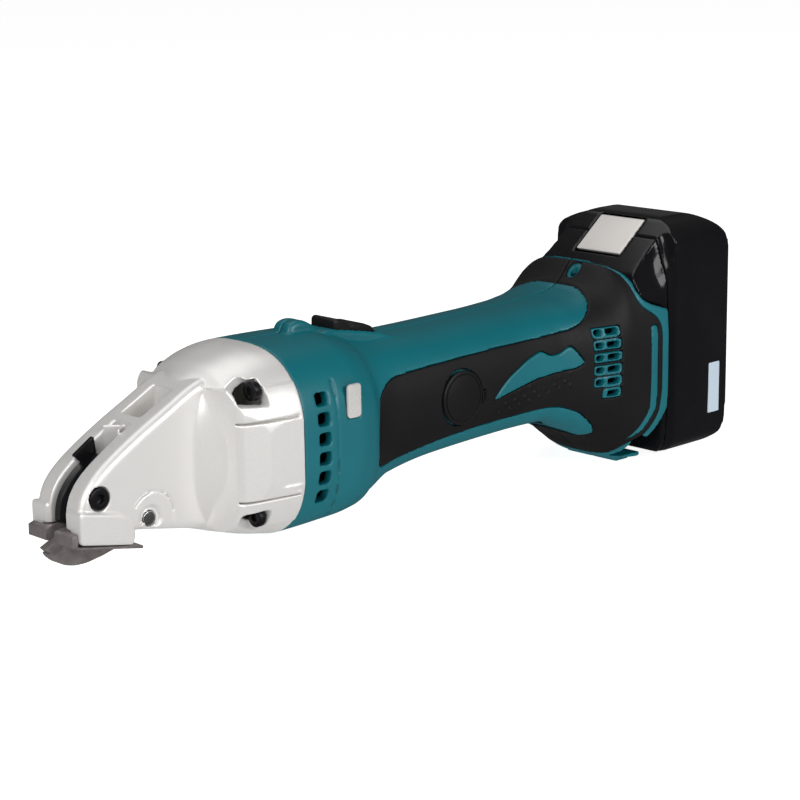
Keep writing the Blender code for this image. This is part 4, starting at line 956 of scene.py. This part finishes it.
# Place (m), angles and lens (mm) come from a least-squares fit to points of the photograph, made by
# another program. report.md says so under "Departure from a rule".
CAMERA_PLACE = (-0.65948, -0.69092, 0.27876)
CAMERA_AZIMUTH = math.radians(-43.84)
CAMERA_ELEVATION = math.radians(13.42)
CAMERA_ROLL = math.radians(-0.8)
LENS = 100.9
SENSOR_WIDTH = 36.0             # mm
FLOOR_SIZE = 12.0
FLOOR_GLOW = 0.93               # emission that keeps the floor white
WORLD_STRENGTH = 0.08


def floor():
    bm = bmesh.new()
    bmesh.ops.create_grid(bm, x_segments=4, y_segments=4, size=FLOOR_SIZE)
    mesh = bpy.data.meshes.new("floor")
    bm.to_mesh(mesh)
    bm.free()
    ground = link("floor", mesh)
    n = Nodes("floor_paper")
    n.set(Base_Color=(0.6, 0.6, 0.6, 1.0), Roughness=0.9)
    n.set(Emission_Color=(1.0, 1.0, 1.0, 1.0), Emission_Strength=FLOOR_GLOW, Specular_IOR_Level=0.1)
    ground.visible_glossy = False
    mesh.materials.append(n.material)


def lamp(name, place, target, size, watts, colour=(1.0, 1.0, 1.0)):
    light = bpy.data.lights.new(name, "AREA")
    light.shape = "RECTANGLE"
    light.size, light.size_y = size
    light.energy = watts
    light.color = colour
    thing = bpy.data.objects.new(name, light)
    thing.location = place
    thing.rotation_euler = (Vector(target) - Vector(place)).to_track_quat("-Z", "Y").to_euler()
    bpy.context.scene.collection.objects.link(thing)


def lights():
    middle = (0.0, 0.0, 0.05)
    lamp("overhead", (-0.1, 0.25, 1.1), middle, (1.4, 0.7), 4.0)
    lamp("key", (-1.2, -0.5, 0.8), middle, (0.7, 0.6), 10.0)
    lamp("side", (0.2, -1.3, 0.6), middle, (0.9, 0.5), 10.0)
    world = bpy.data.worlds.new("studio")
    world.use_nodes = True
    world.node_tree.nodes["Background"].inputs["Color"].default_value = (1.0, 1.0, 1.0, 1.0)
    world.node_tree.nodes["Background"].inputs["Strength"].default_value = WORLD_STRENGTH
    bpy.context.scene.world = world
    bpy.context.scene.view_settings.view_transform = "Standard"


def camera():
    data = bpy.data.cameras.new("camera")
    data.lens = LENS
    data.sensor_width = SENSOR_WIDTH
    data.clip_end = 50.0
    back = Vector((math.sin(CAMERA_AZIMUTH) * math.cos(CAMERA_ELEVATION),
                   -math.cos(CAMERA_AZIMUTH) * math.cos(CAMERA_ELEVATION), math.sin(CAMERA_ELEVATION)))
    level = Vector((math.cos(CAMERA_AZIMUTH), math.sin(CAMERA_AZIMUTH), 0.0))
    upright = back.cross(level)
    right = level * math.cos(CAMERA_ROLL) + upright * math.sin(CAMERA_ROLL)
    above = upright * math.cos(CAMERA_ROLL) - level * math.sin(CAMERA_ROLL)
    thing = bpy.data.objects.new("camera", data)
    turn = Matrix((right, above, back)).transposed().to_4x4()
    thing.matrix_world = Matrix.Translation(CAMERA_PLACE) @ turn
    bpy.context.scene.collection.objects.link(thing)
    bpy.context.scene.camera = thing


# ---------------------------------------------------------------- assembly


def main():
    cast_head()
    head_screws()
    side_cutter(-1)
    side_cutter(1)
    centre_blade()
    pivot_pin()
    nose_bolt()
    strip_deflector()
    housing()
    grips()
    side_insert(window_pane, WINDOW, "window_plastic", "indicator_window")
    side_insert(cap_disc, BLACK, "black_plastic", "brush_cap")
    switch_knob()
    battery_cases()
    battery_bar()
    battery_button()
    inner_pieces()
    floor()
    lights()
    camera()


main()
